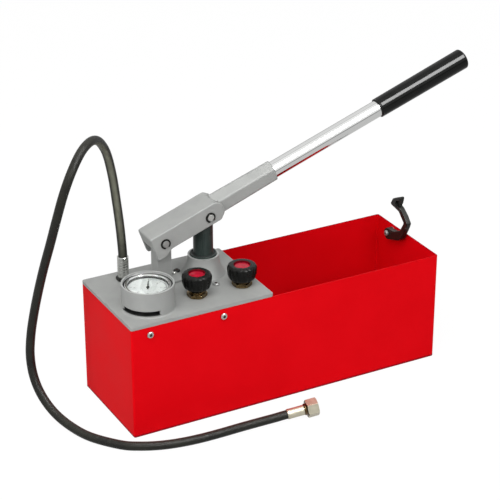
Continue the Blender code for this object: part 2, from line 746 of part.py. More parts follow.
def add_gauge_guard(plate):
    """The wall round the gauge, with a milled slot at its foot."""
    profile = ring_profile(GUARD_RADIUS - GUARD_WALL, GUARD_RADIUS, PLATE_TOP - OVERLAP,
                           PLATE_TOP + GUARD_HEIGHT)
    where = (*GAUGE_AXIS, 0)
    join(plate, turned_guide("gauge_guard", profile, FINE_STEPS, True, location=where))
    slot = box_mesh("guard_slot",
                    (GUARD_RADIUS - GUARD_SLOT_DEPTH, GUARD_RADIUS + OVERRUN),
                    (-GUARD_RADIUS, GUARD_RADIUS),
                    (PLATE_TOP + GUARD_SLOT_FOOT, PLATE_TOP + GUARD_SLOT_FOOT + GUARD_SLOT_HEIGHT))
    cut(plate, guide(slot, "guard_slot", where, (0, 0, GUARD_SLOT_ANGLE)))


def build_cover_plate():
    """The cast plate that closes the left half of the tank and carries the pump."""
    half = PLATE_LENGTH / 2
    slab = box_mesh("cover_plate", (PLATE_CENTRE_X - half, PLATE_CENTRE_X + half),
                    (-TANK_WIDTH / 2, TANK_WIDTH / 2), (PLATE_BOTTOM, PLATE_TOP),
                    TANK_CORNER, PLATE_EDGE)
    plate = place(slab, "cover_plate", GREY_PAINT)
    join(plate, turned_guide("boss", boss_profile(), ROUND_STEPS, location=(*PISTON_AXIS, 0),
                             rotation=(0, 0, math.pi / ROUND_STEPS)))
    add_skirts(plate)
    add_gauge_guard(plate)
    through = PLATE_THICKNESS + 2 * OVERRUN
    below = PLATE_BOTTOM - OVERRUN
    bored(plate, "boss_bore", BARREL_RADIUS + CLEARANCE, (*PISTON_AXIS, below),
          through + BOSS_HEIGHT, steps=ROUND_STEPS)
    for name, spot in (("pressure_valve", PRESSURE_VALVE), ("release_valve", RELEASE_VALVE)):
        bored(plate, "plate_hole_" + name, BONNET_STEM_RADIUS + CLEARANCE, (*spot, below),
              through)
    bored(plate, "plate_hole_gauge", GAUGE_STEM_RADIUS + CLEARANCE, (*GAUGE_AXIS, below),
          through)
    bored(plate, "plate_hole_hose", HOSE_STEM_RADIUS + CLEARANCE, (*HOSE_AXIS, below), through)
    for name, seat in body_screw_seats():
        bored(plate, "plate_hole_body_" + name, SCREW_SHANK + CLEARANCE,
              (seat[0], seat[1], below), through, steps=SMALL_STEPS)
    for name, seat in post_screw_seats():
        bored(plate, "plate_hole_post_" + name, POST_SCREW_SHANK + CLEARANCE,
              (seat[0], seat[1], below), through, steps=SMALL_STEPS)


# Pump body and what hangs under it
def delivery_axis():
    """Where the delivery pipe rises, beside the barrel."""
    return PISTON_AXIS[0] - DELIVERY_PIPE_RUN, PISTON_AXIS[1]


def delivery_height():
    """Height of the delivery pipe's run, in the middle of the foot valve's chamber."""
    return FOOT_SEAT + SUCTION_BALL_RADIUS + DELIVERY_PIPE_RADIUS


def build_pump_body():
    """The block under the plate that holds the barrel, the valves and the ports."""
    left = PLATE_LEFT + BODY_INSET
    block = box_mesh("pump_body", (left, left + BODY_LENGTH),
                     (BODY_FRONT_GAP - SKIRT_INNER, SKIRT_INNER - BODY_BACK_GAP),
                     (BODY_BOTTOM, BODY_TOP), 2 * BODY_EDGE, BODY_EDGE)
    body = place(block, "pump_body", STEEL)
    bored(body, "body_bore", BARREL_RADIUS + CLEARANCE, (*PISTON_AXIS, BODY_BOTTOM - OVERRUN),
          BODY_HEIGHT + 2 * OVERRUN)
    for name, spot in (("pressure_valve", PRESSURE_VALVE), ("release_valve", RELEASE_VALVE)):
        bored(body, "body_socket_" + name, BONNET_STEM_RADIUS + CLEARANCE,
              (*spot, BODY_TOP - BONNET_SOCKET_DEPTH), BONNET_SOCKET_DEPTH + OVERRUN)
    for name, spot, radius, drop in (
            ("gauge", GAUGE_AXIS, GAUGE_STEM_RADIUS, GAUGE_STEM_DROP),
            ("hose", HOSE_AXIS, HOSE_STEM_RADIUS, HOSE_STEM_DROP)):
        depth = drop + OVERLAP
        bored(body, "body_port_" + name, radius + CLEARANCE, (*spot, SEAT - depth),
              depth + OVERRUN)
    bored(body, "body_port_delivery", DELIVERY_PIPE_RADIUS + 2 * CLEARANCE,
          (*delivery_axis(), BODY_BOTTOM - OVERRUN), DELIVERY_PORT_DEPTH + OVERRUN)
    add_galleries(body)
    for name, seat in body_screw_seats():
        depth = BODY_SCREW_LENGTH + OVERLAP
        bored(body, "body_hole_" + name, SCREW_SHANK + CLEARANCE,
              (seat[0], seat[1], SEAT - depth), depth + OVERRUN, steps=SMALL_STEPS)
    for name, seat in post_screw_seats():
        depth = POST_SCREW_LENGTH + OVERLAP
        bored(body, "body_hole_post_" + name, POST_SCREW_SHANK + CLEARANCE,
              (seat[0], seat[1], seat[2] - depth), depth + OVERRUN, steps=SMALL_STEPS)


def add_galleries(body):
    """The cross drillings that join the delivery port, the valves, the gauge and the hose."""
    height = SEAT - GALLERY_DROP
    across = GAUGE_AXIS[1] - OVERLAP
    runs = (("valves", (GAUGE_AXIS[0], across), (1, 0, 0), RELEASE_VALVE[0] - GAUGE_AXIS[0]),
            ("hose", HOSE_AXIS, (0, -1, 0), HOSE_AXIS[1] - across),
            ("delivery", delivery_axis(), (0, -1, 0), PISTON_AXIS[1] - across))
    for name, (x, y), direction, length in runs:
        bored(body, "gallery_" + name, GALLERY_RADIUS, (x, y, height), length,
              turn_to(direction), SMALL_STEPS)


def build_barrel():
    """The barrel, its guide collar with the wiper, and the foot valve under it."""
    axis = (*PISTON_AXIS, 0)
    flange_top = BODY_BOTTOM - CLEARANCE
    flange_bottom = flange_top - BARREL_FLANGE_HEIGHT
    barrel = [(BARREL_BORE, BARREL_TOP), (BARREL_RADIUS, BARREL_TOP), (BARREL_RADIUS, flange_top),
              (BARREL_FLANGE, flange_top), (BARREL_FLANGE, flange_bottom),
              (BARREL_RADIUS, flange_bottom), (BARREL_RADIUS, BARREL_BOTTOM),
              (BARREL_BORE, BARREL_BOTTOM)]
    turned("pump_barrel", barrel, STEEL, closed=True, location=axis)
    bottom = BARREL_TOP + CLEARANCE
    groove = COLLAR_TOP - WIPER_HEIGHT - CLEARANCE
    collar = [(WIPER_RADIUS + CLEARANCE, COLLAR_TOP), (COLLAR_RADIUS, COLLAR_TOP),
              (COLLAR_RADIUS, bottom), (BARREL_BORE, bottom), (BARREL_BORE, groove),
              (WIPER_RADIUS + CLEARANCE, groove)]
    turned("guide_collar", collar, DARK_STEEL, closed=True, location=axis)
    turned("piston_wiper", ring_profile(BARREL_BORE, WIPER_RADIUS, groove + CLEARANCE, COLLAR_TOP),
           BLACK_RUBBER, closed=True, location=axis)


def build_foot_valve():
    """The foot valve, its ball, the suction pipe and the strainer."""
    axis = (*PISTON_AXIS, 0)
    socket_top = FOOT_BOTTOM + SUCTION_SOCKET_DEPTH
    socket = SUCTION_PIPE_RADIUS + CLEARANCE
    spigot = BARREL_BORE - CLEARANCE
    spigot_top = FOOT_TOP + FOOT_SPIGOT_HEIGHT
    profile = [(FOOT_SPIGOT_BORE, spigot_top), (spigot, spigot_top), (spigot, FOOT_TOP),
               (BARREL_RADIUS, FOOT_TOP), (BARREL_RADIUS, FOOT_BOTTOM), (socket, FOOT_BOTTOM),
               (socket, socket_top), (FOOT_SEAT_RADIUS, socket_top), (FOOT_SEAT_RADIUS, FOOT_SEAT),
               (FOOT_CHAMBER_RADIUS, FOOT_SEAT), (FOOT_CHAMBER_RADIUS, FOOT_TOP),
               (FOOT_SPIGOT_BORE, FOOT_TOP)]
    foot = turned("foot_valve", profile, STEEL, closed=True, location=axis)
    bored(foot, "foot_side_port", DELIVERY_PIPE_RADIUS + 2 * CLEARANCE,
          (PISTON_AXIS[0] - BARREL_RADIUS - OVERRUN, PISTON_AXIS[1], delivery_height()),
          BARREL_RADIUS + OVERRUN, turn_to((1, 0, 0)))
    rise = math.sqrt(SUCTION_BALL_RADIUS ** 2 - FOOT_SEAT_RADIUS ** 2) + CLEARANCE
    ball("suction_ball", SUCTION_BALL_RADIUS, (*PISTON_AXIS, FOOT_SEAT + rise))
    pipe_bottom = STRAINER_TOP - STRAINER_PIPE_REACH
    turned("suction_pipe", ring_profile(SUCTION_PIPE_BORE, SUCTION_PIPE_RADIUS, pipe_bottom,
                                        socket_top - CLEARANCE), STEEL, SMALL_STEPS, True,
           location=axis)
    build_strainer(STRAINER_BOTTOM, STRAINER_TOP)


def build_strainer(bottom, top):
    """A slotted cup round the foot of the suction pipe."""
    inside = STRAINER_RADIUS - STRAINER_WALL
    collar = SUCTION_PIPE_RADIUS + CLEARANCE
    floor = bottom + STRAINER_WALL
    profile = [(0, floor), (inside, floor), (inside, top - STRAINER_WALL),
               (collar, top - STRAINER_WALL), (collar, top), (STRAINER_RADIUS, top),
               (STRAINER_RADIUS, bottom), (0, bottom)]
    strainer = turned("suction_strainer", profile, BRASS, ROUND_STEPS,
                      location=(*PISTON_AXIS, 0))
    heights = (bottom + 2 * STRAINER_WALL, bottom + STRAINER_HEIGHT / 2)
    half = STRAINER_SLOT_WIDTH / 2
    for index in range(STRAINER_SLOTS):
        name = "strainer_slot_%d" % (index + 1)
        slot = box_mesh(name, (inside - OVERRUN, STRAINER_RADIUS + OVERRUN), (-half, half), heights)
        turn = math.tau * index / STRAINER_SLOTS
        cut(strainer, guide(slot, name, (*PISTON_AXIS, 0), (0, 0, turn)))


def ball(name, radius, location):
    """A valve ball."""
    bm = bmesh.new()
    bmesh.ops.create_uvsphere(bm, u_segments=12, v_segments=8, radius=radius)
    return place(mesh_from(bm, name), name, STEEL, location)


def build_delivery_line():
    """The pipe from the foot valve up to the pump body, and the delivery ball over it."""
    x_up, y = delivery_axis()
    low = delivery_height()
    start = PISTON_AXIS[0] - FOOT_CHAMBER_RADIUS - DELIVERY_PIPE_RADIUS
    bend_x = x_up + DELIVERY_BEND
    bend_z = low + DELIVERY_BEND
    points = [(start, y, low)]
    for index in range(DELIVERY_BEND_POINTS + 1):
        turn = math.radians(90.0) * index / DELIVERY_BEND_POINTS
        points.append((bend_x - DELIVERY_BEND * math.sin(turn), y,
                       bend_z - DELIVERY_BEND * math.cos(turn)))
    pipe_top = BODY_BOTTOM + DELIVERY_PORT_REACH
    points.append((x_up, y, pipe_top))
    tube_object("delivery_pipe", points, DELIVERY_PIPE_RADIUS, 2, STEEL)
    ball("delivery_ball", DELIVERY_BALL_RADIUS,
         (x_up, y, pipe_top + CLEARANCE + DELIVERY_BALL_RADIUS))


# Piston
def pin_height(angle):
    """How high the piston pin stands over the pivot at a lever angle."""
    return PIN_SPACING * math.sin(angle)


def eye_levels():
    """Bottom of the eye, bottom and top of its slot, and its top."""
    pin = PIVOT[2] + pin_height(LEVER_ANGLE)
    slot_bottom = pin - PIN_RADIUS - CLEARANCE - SLOT_DROP
    slot_top = pin + PIN_RADIUS + CLEARANCE
    return slot_bottom - EYE_FOOT, slot_bottom, slot_top, slot_top + EYE_WALL


def slot_sides():
    """Left and right end of the eye's slot: the pin's reach over the lever's travel."""
    steepest = PIVOT[0] + PIN_SPACING * math.cos(LEVER_ANGLE + LEVER_RISE)
    furthest = PIVOT[0] + PIN_SPACING * math.cos(max(LEVER_ANGLE - LEVER_FALL, 0))
    margin = PIN_RADIUS + CLEARANCE
    return steepest - margin, furthest + margin


def build_piston():
    """The piston with its seal, the nut that holds the seal, and the slotted eye."""
    eye_bottom, slot_bottom, slot_top, eye_top = eye_levels()
    left, right = slot_sides()
    body = [(left - EYE_WALL, eye_bottom), (right + EYE_WALL, eye_bottom),
            (right + EYE_WALL, eye_top), (left - EYE_WALL, eye_top)]
    bottom_round = rounded_outline(body, EYE_WALL / 2)
    top_round = rounded_outline(body, EYE_CORNER)
    half = len(top_round) // 2
    outer = bottom_round[:half] + top_round[half:]
    slot = rounded_outline([(left, slot_bottom), (right, slot_bottom), (right, slot_top),
                            (left, slot_top)], PIN_RADIUS)
    shift = Matrix.Translation((0, PISTON_AXIS[1], 0))
    eye = upright(outline_mesh("piston_eye", [outer, slot], EYE_THICKNESS))
    eye.transform(shift)
    place(eye, "piston_eye", PISTON_GREY)
    top = eye_bottom - CLEARANCE
    foot = FOOT_TOP + FOOT_SPIGOT_HEIGHT + PISTON_STANDOFF
    seat = foot + PISTON_SPIGOT_LENGTH
    axis = (*PISTON_AXIS, 0)
    turned("piston", [(0, top), (PISTON_RADIUS, top), (PISTON_RADIUS, seat),
                      (PISTON_SPIGOT_RADIUS, seat), (PISTON_SPIGOT_RADIUS, foot), (0, foot)],
           PISTON_GREY, location=axis)
    bore = PISTON_SPIGOT_RADIUS + CLEARANCE
    seal_top = seat - CLEARANCE
    seal_bottom = seal_top - SEAL_HEIGHT
    turned("piston_seal", ring_profile(bore, SEAL_RADIUS, seal_bottom, seal_top), BLACK_RUBBER,
           closed=True, location=axis)
    turned("seal_nut", ring_profile(bore, SEAL_NUT_RADIUS, foot, seal_bottom - CLEARANCE), STEEL,
           closed=True, location=axis)


# Lever
def head_outline():
    """The side view of the lever head, from the pivot along the pin line."""
    corners = [(-HEAD_BACK, -HEAD_EAR), (-HEAD_EAR_END, -HEAD_EAR), (HEAD_EAR_END, -HEAD_CHEEK),
               (HEAD_LENGTH - HEAD_NOSE, -HEAD_CHEEK), (HEAD_LENGTH, -HEAD_CHEEK + HEAD_NOSE),
               (HEAD_LENGTH, HEAD_ROOF - HEAD_NOSE), (HEAD_LENGTH - HEAD_NOSE, HEAD_ROOF),
               (-HEAD_BACK, HEAD_ROOF)]
    return rounded_outline(corners, HEAD_CORNER)


def channel_outline():
    """The side view of the space inside the head, open below and under the end wall."""
    low = -HEAD_EAR - OVERRUN
    back = -HEAD_BACK - OVERRUN
    roof = HEAD_ROOF - ROOF_THICKNESS
    return [(back, low), (CHANNEL_END, low), (CHANNEL_END, roof), (-CHANNEL_BACK, roof),
            (-CHANNEL_BACK, -CHANNEL_MOUTH), (back, -CHANNEL_MOUTH)]


def socket_mesh():
    """The tapered six-sided socket, wider at its ridges than at its flats."""
    bm = bmesh.new()
    length = SOCKET_END - SOCKET_START
    bmesh.ops.create_cone(bm, cap_ends=True, segments=6, radius1=SOCKET_HALF_WIDTH,
                          radius2=SOCKET_HALF_WIDTH * SOCKET_TAPER_SHARE, depth=length)
    stretch = SOCKET_HALF_HEIGHT / (SOCKET_HALF_WIDTH * math.cos(math.radians(30.0)))
    bmesh.ops.scale(bm, vec=(1, stretch, 1), verts=bm.verts)
    for vert in bm.verts:
        if abs(vert.co.y) < MERGE:
            vert.co.y += SOCKET_RIDGE_RISE
    bmesh.ops.translate(bm, vec=(0, 0, SOCKET_START + length / 2), verts=bm.verts)
    bmesh.ops.bevel(bm, geom=bm.edges[:], offset=SOCKET_EDGE, segments=2, profile=0.5,
                    affect="EDGES")
    return mesh_from(bm, "lever_socket")


def along_lever(x, z=0.0):
    """A place in the lever's frame, from the pivot along the pin line."""
    return x, 0, z


LEVER_BAR_TURN = (math.radians(90.0), 0, math.radians(90.0))


def build_lever_head(lever):
    """The cast head: a channel over the post and the piston, with a socket for the tube."""
    mesh = upright(outline_mesh("lever_head", [head_outline()], HEAD_WIDTH, HEAD_EDGE))
    head = place(mesh, "lever_head", GREY_PAINT, parent=lever)
    join(head, guide(socket_mesh(), "lever_socket", along_lever(0, SOCKET_OFFSET),
                     LEVER_BAR_TURN, lever))
    channel = upright(outline_mesh("lever_channel", [channel_outline()], CHANNEL_WIDTH))
    cut(head, guide(channel, "lever_channel", parent=lever))
    side = HEAD_WIDTH / 2 + OVERRUN
    for name, x in (("pivot", 0), ("piston", PIN_SPACING)):
        bored(head, "head_hole_" + name, PIN_RADIUS + CLEARANCE, (x, side, 0), 2 * side,
              turn_to((0, -1, 0)), SMALL_STEPS, lever)
    bored(head, "tube_bore", TUBE_RADIUS + CLEARANCE,
          along_lever(SOCKET_END - SOCKET_BORE_DEPTH, SOCKET_OFFSET),
          SOCKET_BORE_DEPTH + OVERRUN, LEVER_BAR_TURN, parent=lever)
    place_x = SOCKET_END - SET_SCREW_INSET
    depth = SOCKET_HALF_HEIGHT + OVERRUN
    bored(head, "set_screw_hole", SET_SCREW_RADIUS + CLEARANCE,
          along_lever(place_x, SOCKET_OFFSET - depth), depth, steps=SMALL_STEPS, parent=lever)
    length = SOCKET_HALF_HEIGHT * SOCKET_TAPER_SHARE - TUBE_RADIUS - CLEARANCE
    bottom = SOCKET_OFFSET - TUBE_RADIUS - CLEARANCE - length
    place(rod_mesh("tube_set_screw", SET_SCREW_RADIUS, length, SMALL_STEPS), "tube_set_screw",
          DARK_STEEL, along_lever(place_x, bottom), parent=lever)


def grip_profile():
    """The grip: a long sleeve that swells a little, with a crowned closed end."""
    bore = TUBE_RADIUS + CLEARANCE
    end = GRIP_LENGTH
    profile = [(0, end)]
    for index in range(GRIP_CROWN_POINTS + 1):
        turn = math.radians(90.0) * index / GRIP_CROWN_POINTS
        profile.append((GRIP_END_RADIUS - GRIP_CROWN * (1 - math.sin(turn)),
                        end - GRIP_CROWN / 2 * (1 - math.cos(turn))))
    profile += [(GRIP_RADIUS, GRIP_LIP), (GRIP_RADIUS - GRIP_LIP, 0), (bore, 0),
                (bore, end - GRIP_CAP), (0, end - GRIP_CAP)]
    return profile


def build_lever(lever):
    """The tube and the grip behind the head."""
    start = SOCKET_END - SOCKET_BORE_DEPTH + CLEARANCE
    end = GRIP_START + GRIP_LENGTH - GRIP_CAP - CLEARANCE
    where = {"location": along_lever(0, SOCKET_OFFSET), "rotation": LEVER_BAR_TURN,
             "parent": lever}
    turned("lever_tube", ring_profile(TUBE_RADIUS - TUBE_WALL, TUBE_RADIUS, start, end), CHROME,
           closed=True, **where)
    where["location"] = along_lever(GRIP_START, SOCKET_OFFSET)
    turned("lever_grip", grip_profile(), BLACK_PLASTIC, **where)


def build_pins(lever):
    """The pivot pin and the piston pin: a head at the back, a retaining ring in front."""
    face = HEAD_WIDTH / 2 + CLEARANCE
    for name, x in (("pivot_pin", 0), ("piston_pin", PIN_SPACING)):
        chamfer = PIN_PROUD / 2
        head = CLIP_THICKNESS
        length = head + face + PIN_HALF_LENGTH
        profile = [(0, length), (PIN_RADIUS - chamfer, length), (PIN_RADIUS, length - chamfer),
                   (PIN_RADIUS, head), (CLIP_RADIUS, head), (CLIP_RADIUS, 0), (0, 0)]
        turned(name, profile, STEEL, SMALL_STEPS, location=(x, face + head, 0),
               rotation=turn_to((0, -1, 0)), parent=lever)
        turned(name + "_ring", ring_profile(PIN_RADIUS + CLEARANCE, CLIP_RADIUS, 0, CLIP_THICKNESS),
               DARK_STEEL, SMALL_STEPS, True, location=(x, -face, 0),
               rotation=turn_to((0, -1, 0)), parent=lever)


def build_post():
    """The post on the plate that carries the pivot pin."""
    x = PIVOT[0] + POST_OFFSET
    half = POST_LENGTH / 2
    crown = PIVOT[2] - POST_CROWN_DROP
    foot_top = SEAT + POST_FOOT_HEIGHT
    outer = [Vector((x - half, foot_top - OVERLAP)), Vector((x + half, foot_top - OVERLAP))]
    for step in range(SMALL_STEPS // 2 + 1):
        turn = math.tau * step / SMALL_STEPS
        outer.append(Vector((x + half * math.cos(turn), crown + half * math.sin(turn))))
    mesh = upright(outline_mesh("lever_post", [outer], POST_THICKNESS, POST_EDGE))
    mesh.transform(Matrix.Translation((0, PIVOT[1], 0)))
    post = place(mesh, "lever_post", GREY_PAINT)
    foot = box_mesh("post_foot", (x - POST_FOOT_LENGTH / 2, x + POST_FOOT_LENGTH / 2),
                    (PIVOT[1] - POST_FOOT_WIDTH / 2, PIVOT[1] + POST_FOOT_WIDTH / 2),
                    (SEAT, foot_top), POST_EDGE)
    join(post, guide(foot, "post_foot"))
    side = POST_THICKNESS / 2 + OVERRUN
    bored(post, "post_pin_hole", PIN_RADIUS + CLEARANCE, (PIVOT[0], PIVOT[1] + side, PIVOT[2]),
          2 * side, turn_to((0, -1, 0)), SMALL_STEPS)
    for name, seat in post_screw_seats():
        bored(post, "post_foot_hole_" + name, POST_SCREW_SHANK + CLEARANCE,
              (seat[0], seat[1], SEAT - OVERRUN), POST_FOOT_HEIGHT + 2 * OVERRUN,
              steps=SMALL_STEPS)


# Gauge
def build_gauge():
    """The gauge, from its stem up to the glass."""
    x, y = GAUGE_AXIS
    axis = (x, y, 0)
    hex_top = SEAT + GAUGE_HEX_HEIGHT
    case_bottom = hex_top + CLEARANCE
    case_top = case_bottom + CASE_HEIGHT
    movement_top = case_bottom + CASE_FLOOR + CLEARANCE + MOVEMENT_HEIGHT
    stem = turned("gauge_stem", [(0, case_bottom + CASE_FLOOR), (GAUGE_STEM_RADIUS,
                  case_bottom + CASE_FLOOR), (GAUGE_STEM_RADIUS, SEAT - GAUGE_STEM_DROP),
                  (0, SEAT - GAUGE_STEM_DROP)], BRASS, SMALL_STEPS, location=axis)
    join(stem, guide(hex_mesh("gauge_hex", GAUGE_HEX, GAUGE_HEX_HEIGHT), "gauge_hex",
                     (x, y, SEAT)))
    hole = GAUGE_STEM_RADIUS + CLEARANCE
    inside = CASE_RADIUS - CASE_WALL
    turned("gauge_case", [(inside, case_top), (CASE_RADIUS, case_top), (CASE_RADIUS, case_bottom),
                          (hole, case_bottom), (hole, case_bottom + CASE_FLOOR),
                          (inside, case_bottom + CASE_FLOOR)], STEEL, FINE_STEPS, True,
           location=axis)
    half = MOVEMENT_WIDTH / 2
    movement = place(box_mesh("gauge_movement", (x - half, x + half), (y - half, y + half),
                              (movement_top - MOVEMENT_HEIGHT, movement_top)),
                     "gauge_movement", BRASS)
    bored(movement, "arbor_hole", ARBOR_HOLE, (x, y, movement_top - ARBOR_DROP),
          ARBOR_DROP + OVERRUN, steps=SMALL_STEPS)
    build_bourdon_tube(case_bottom + CASE_FLOOR + MOVEMENT_HEIGHT / 2)
    dial_top = movement_top + CLEARANCE + DIAL_THICKNESS
    turned("gauge_dial", ring_profile(ARBOR_HOLE, DIAL_RADIUS, movement_top + CLEARANCE, dial_top),
           WHITE_CARD, FINE_STEPS, True, location=axis)
    glass_bottom = case_top + CLEARANCE
    glass_top = glass_bottom + GLASS_THICKNESS
    turned("gauge_glass", [(0, glass_top), (CASE_RADIUS, glass_top), (CASE_RADIUS, glass_bottom),
                           (0, glass_bottom)], CLEAR_GLASS, FINE_STEPS, location=axis)
    lip_bottom = glass_top + CLEARANCE
    lip_top = lip_bottom + BEZEL_LIP
    bore = CASE_RADIUS + CLEARANCE
    outer = bore + BEZEL_WALL
    turned("gauge_bezel", [(BEZEL_LIP_RADIUS, lip_top), (outer - BEZEL_LIP / 2, lip_top),
                           (outer, lip_top - BEZEL_LIP / 2), (outer, case_top - BEZEL_SKIRT),
                           (bore, case_top - BEZEL_SKIRT), (bore, lip_bottom),
                           (BEZEL_LIP_RADIUS, lip_bottom)], CHROME, FINE_STEPS, True,
           location=axis)
    build_pointer(dial_top + POINTER_LIFT, movement_top)


def build_bourdon_tube(height):
    """The curved tube that straightens under pressure; both ends meet the movement."""
    points = []
    inner = MOVEMENT_WIDTH / 2 + CLEARANCE
    ends = (BOURDON_START, BOURDON_START + BOURDON_SWEEP)
    points.append((inner * math.cos(ends[0]), inner * math.sin(ends[0])))
    for index in range(BOURDON_POINTS):
        turn = ends[0] + BOURDON_SWEEP * index / (BOURDON_POINTS - 1)
        points.append((BOURDON_RADIUS * math.cos(turn), BOURDON_RADIUS * math.sin(turn)))
    points.append((inner * math.cos(ends[1]), inner * math.sin(ends[1])))
    placed = [(GAUGE_AXIS[0] + x, GAUGE_AXIS[1] + y, height) for x, y in points]
    tube_object("bourdon_tube", placed, BOURDON_TUBE, 2, BRASS)


def build_pointer(height, movement_top):
    """The pointer with its hub and arbor, parented to its axis."""
    axis = axis_empty("gauge_pointer_axis", (*GAUGE_AXIS, height), (0, 0, POINTER_ANGLE))
    half = POINTER_WIDTH / 2
    tip = half * POINTER_TIP_SHARE
    needle = [(-POINTER_TAIL, -half), (0, -half), (POINTER_LENGTH, -tip), (POINTER_LENGTH, tip),
              (0, half), (-POINTER_TAIL, half)]
    pointer = place(outline_mesh("gauge_pointer", [needle], POINTER_THICKNESS), "gauge_pointer",
                    BLACK_PLASTIC, parent=axis)
    arbor_bottom = movement_top - ARBOR_DROP / 2 - height
    hub = [(0, POINTER_THICKNESS), (POINTER_HUB, POINTER_THICKNESS),
           (POINTER_HUB, -POINTER_THICKNESS / 2), (ARBOR_RADIUS, -POINTER_THICKNESS / 2),
           (ARBOR_RADIUS, arbor_bottom), (0, arbor_bottom)]
    join(pointer, turned_guide("pointer_hub", hub, SMALL_STEPS, parent=axis))


# Valves
def knob_mesh(name):
    """A fluted, tapered knob that stands on the local origin."""
    bm = bmesh.new()
    segments = KNOB_FLUTES * KNOB_POINTS_PER_FLUTE
    bmesh.ops.create_cone(bm, cap_ends=True, segments=segments, radius1=KNOB_RADIUS,
                          radius2=KNOB_RADIUS, depth=KNOB_HEIGHT)
    bmesh.ops.translate(bm, vec=(0, 0, KNOB_HEIGHT / 2), verts=bm.verts)
    for share in KNOB_HEIGHT_SHARES[1:-1]:
        bmesh.ops.bisect_plane(bm, geom=bm.verts[:] + bm.edges[:] + bm.faces[:],
                               plane_co=(0, 0, KNOB_HEIGHT * share), plane_no=(0, 0, 1))
    for vert in bm.verts:
        level = min(range(len(KNOB_HEIGHT_SHARES)),
                    key=lambda ring: abs(KNOB_HEIGHT_SHARES[ring] * KNOB_HEIGHT - vert.co.z))
        turn = math.atan2(vert.co.y, vert.co.x)
        wave = (1 - math.cos(KNOB_FLUTES * turn)) / 2
        radius = (KNOB_RADIUS * KNOB_RADIUS_SHARES[level]
                  - KNOB_FLUTE_DEPTH * KNOB_FLUTE_SHARES[level] * wave)
        vert.co.x = radius * math.cos(turn)
        vert.co.y = radius * math.sin(turn)
    return mesh_from(bm, name)


def build_valve(name, spot, turns_open):
    """One valve: a bonnet screwed into the body, a spindle, a knob and its red cap."""
    hex_part = hex_mesh(name + "_hex", BONNET_HEX, BONNET_HEX_HEIGHT, UNION_EDGE)
    body = [(0, SEAT + BONNET_HEIGHT), (BONNET_NECK_RADIUS, SEAT + BONNET_HEIGHT),
            (BONNET_NECK_RADIUS, SEAT), (BONNET_STEM_RADIUS, SEAT),
            (BONNET_STEM_RADIUS, SEAT - BONNET_STEM_LENGTH), (0, SEAT - BONNET_STEM_LENGTH)]
    bonnet = turned(name + "_bonnet", body, BRASS, location=(*spot, 0))
    join(bonnet, guide(hex_part, name + "_hex", (*spot, SEAT)))
    bored(bonnet, name + "_bonnet_bore", SPINDLE_RADIUS + CLEARANCE,
          (*spot, SEAT - BONNET_STEM_LENGTH - OVERRUN),
          BONNET_STEM_LENGTH + BONNET_HEIGHT + 2 * OVERRUN, steps=SMALL_STEPS)
    lift = turns_open * VALVE_PITCH
    knob_bottom = SEAT + BONNET_HEIGHT + KNOB_GAP + lift
    axis = axis_empty(name + "_axis", (*spot, knob_bottom))
    top = KNOB_BORE_DEPTH - CLEARANCE
    tip = SEAT - BONNET_STEM_LENGTH - SPINDLE_TIP_LENGTH + lift - knob_bottom
    turned(name + "_spindle", [(0, top), (SPINDLE_RADIUS, top),
                               (SPINDLE_RADIUS, tip + SPINDLE_TIP_LENGTH), (SPINDLE_TIP, tip),
                               (0, tip)], STEEL, SMALL_STEPS, parent=axis)
    knob = place(knob_mesh(name + "_knob"), name + "_knob", BLACK_PLASTIC, parent=axis)
    bored(knob, name + "_knob_bore", SPINDLE_RADIUS + CLEARANCE, (0, 0, -OVERRUN),
          KNOB_BORE_DEPTH + OVERRUN, steps=SMALL_STEPS, parent=axis)
    recess = KNOB_HEIGHT - KNOB_RECESS_DEPTH
    bored(knob, name + "_knob_recess", KNOB_RECESS_RADIUS, (0, 0, recess),
          KNOB_RECESS_DEPTH + OVERRUN, parent=axis)
    cap_bottom = recess + CLEARANCE
    cap_radius = KNOB_RECESS_RADIUS - CLEARANCE
    turned(name + "_cap", [(0, cap_bottom + CAP_THICKNESS),
                           (cap_radius, cap_bottom + CAP_THICKNESS), (cap_radius, cap_bottom),
                           (0, cap_bottom)], RED_PLASTIC, parent=axis)


# Hose
def smooth_route(route, spacing):
    """Points at an even spacing on a smooth curve through a route's own points."""
    points = [Vector(point) for point in route]
    ends = [2 * points[0] - points[1], 2 * points[-1] - points[-2]]
    padded = [ends[0]] + points + [ends[1]]
    dense = []
    for index in range(1, len(padded) - 2):
        before, here, there, after = padded[index - 1:index + 3]
        for step in range(HOSE_CURVE_STEPS):
            share = step / HOSE_CURVE_STEPS
            square, cube = share ** 2, share ** 3
            dense.append(0.5 * (2 * here + (there - before) * share
                                + (2 * before - 5 * here + 4 * there - after) * square
                                + (3 * here - before - 3 * there + after) * cube))
    dense.append(points[-1])
    total = sum((b - a).length for a, b in zip(dense, dense[1:]))
    count = max(2, round(total / spacing))
    result = [dense[0]]
    travelled, target = 0.0, total / count
    for first, second in zip(dense, dense[1:]):
        stretch = (second - first).length
        while travelled + stretch >= target and len(result) < count:
            result.append(first.lerp(second, (target - travelled) / stretch))
            target += total / count
        travelled += stretch
    result.append(dense[-1])
    return result


def route_point(point):
    """A point of the route, drawn so that it starts on the ferrule and stays on the floor."""
    first = HOSE_ROUTE[0]
    rise = (FERRULE_TOP + CLEARANCE - HOSE_FLOOR) / (first[2] - HOSE_FLOOR)
    return Vector((point[0] + HOSE_AXIS[0] - first[0], point[1] * HOSE_AXIS[1] / first[1],
                   HOSE_FLOOR + (point[2] - HOSE_FLOOR) * rise))


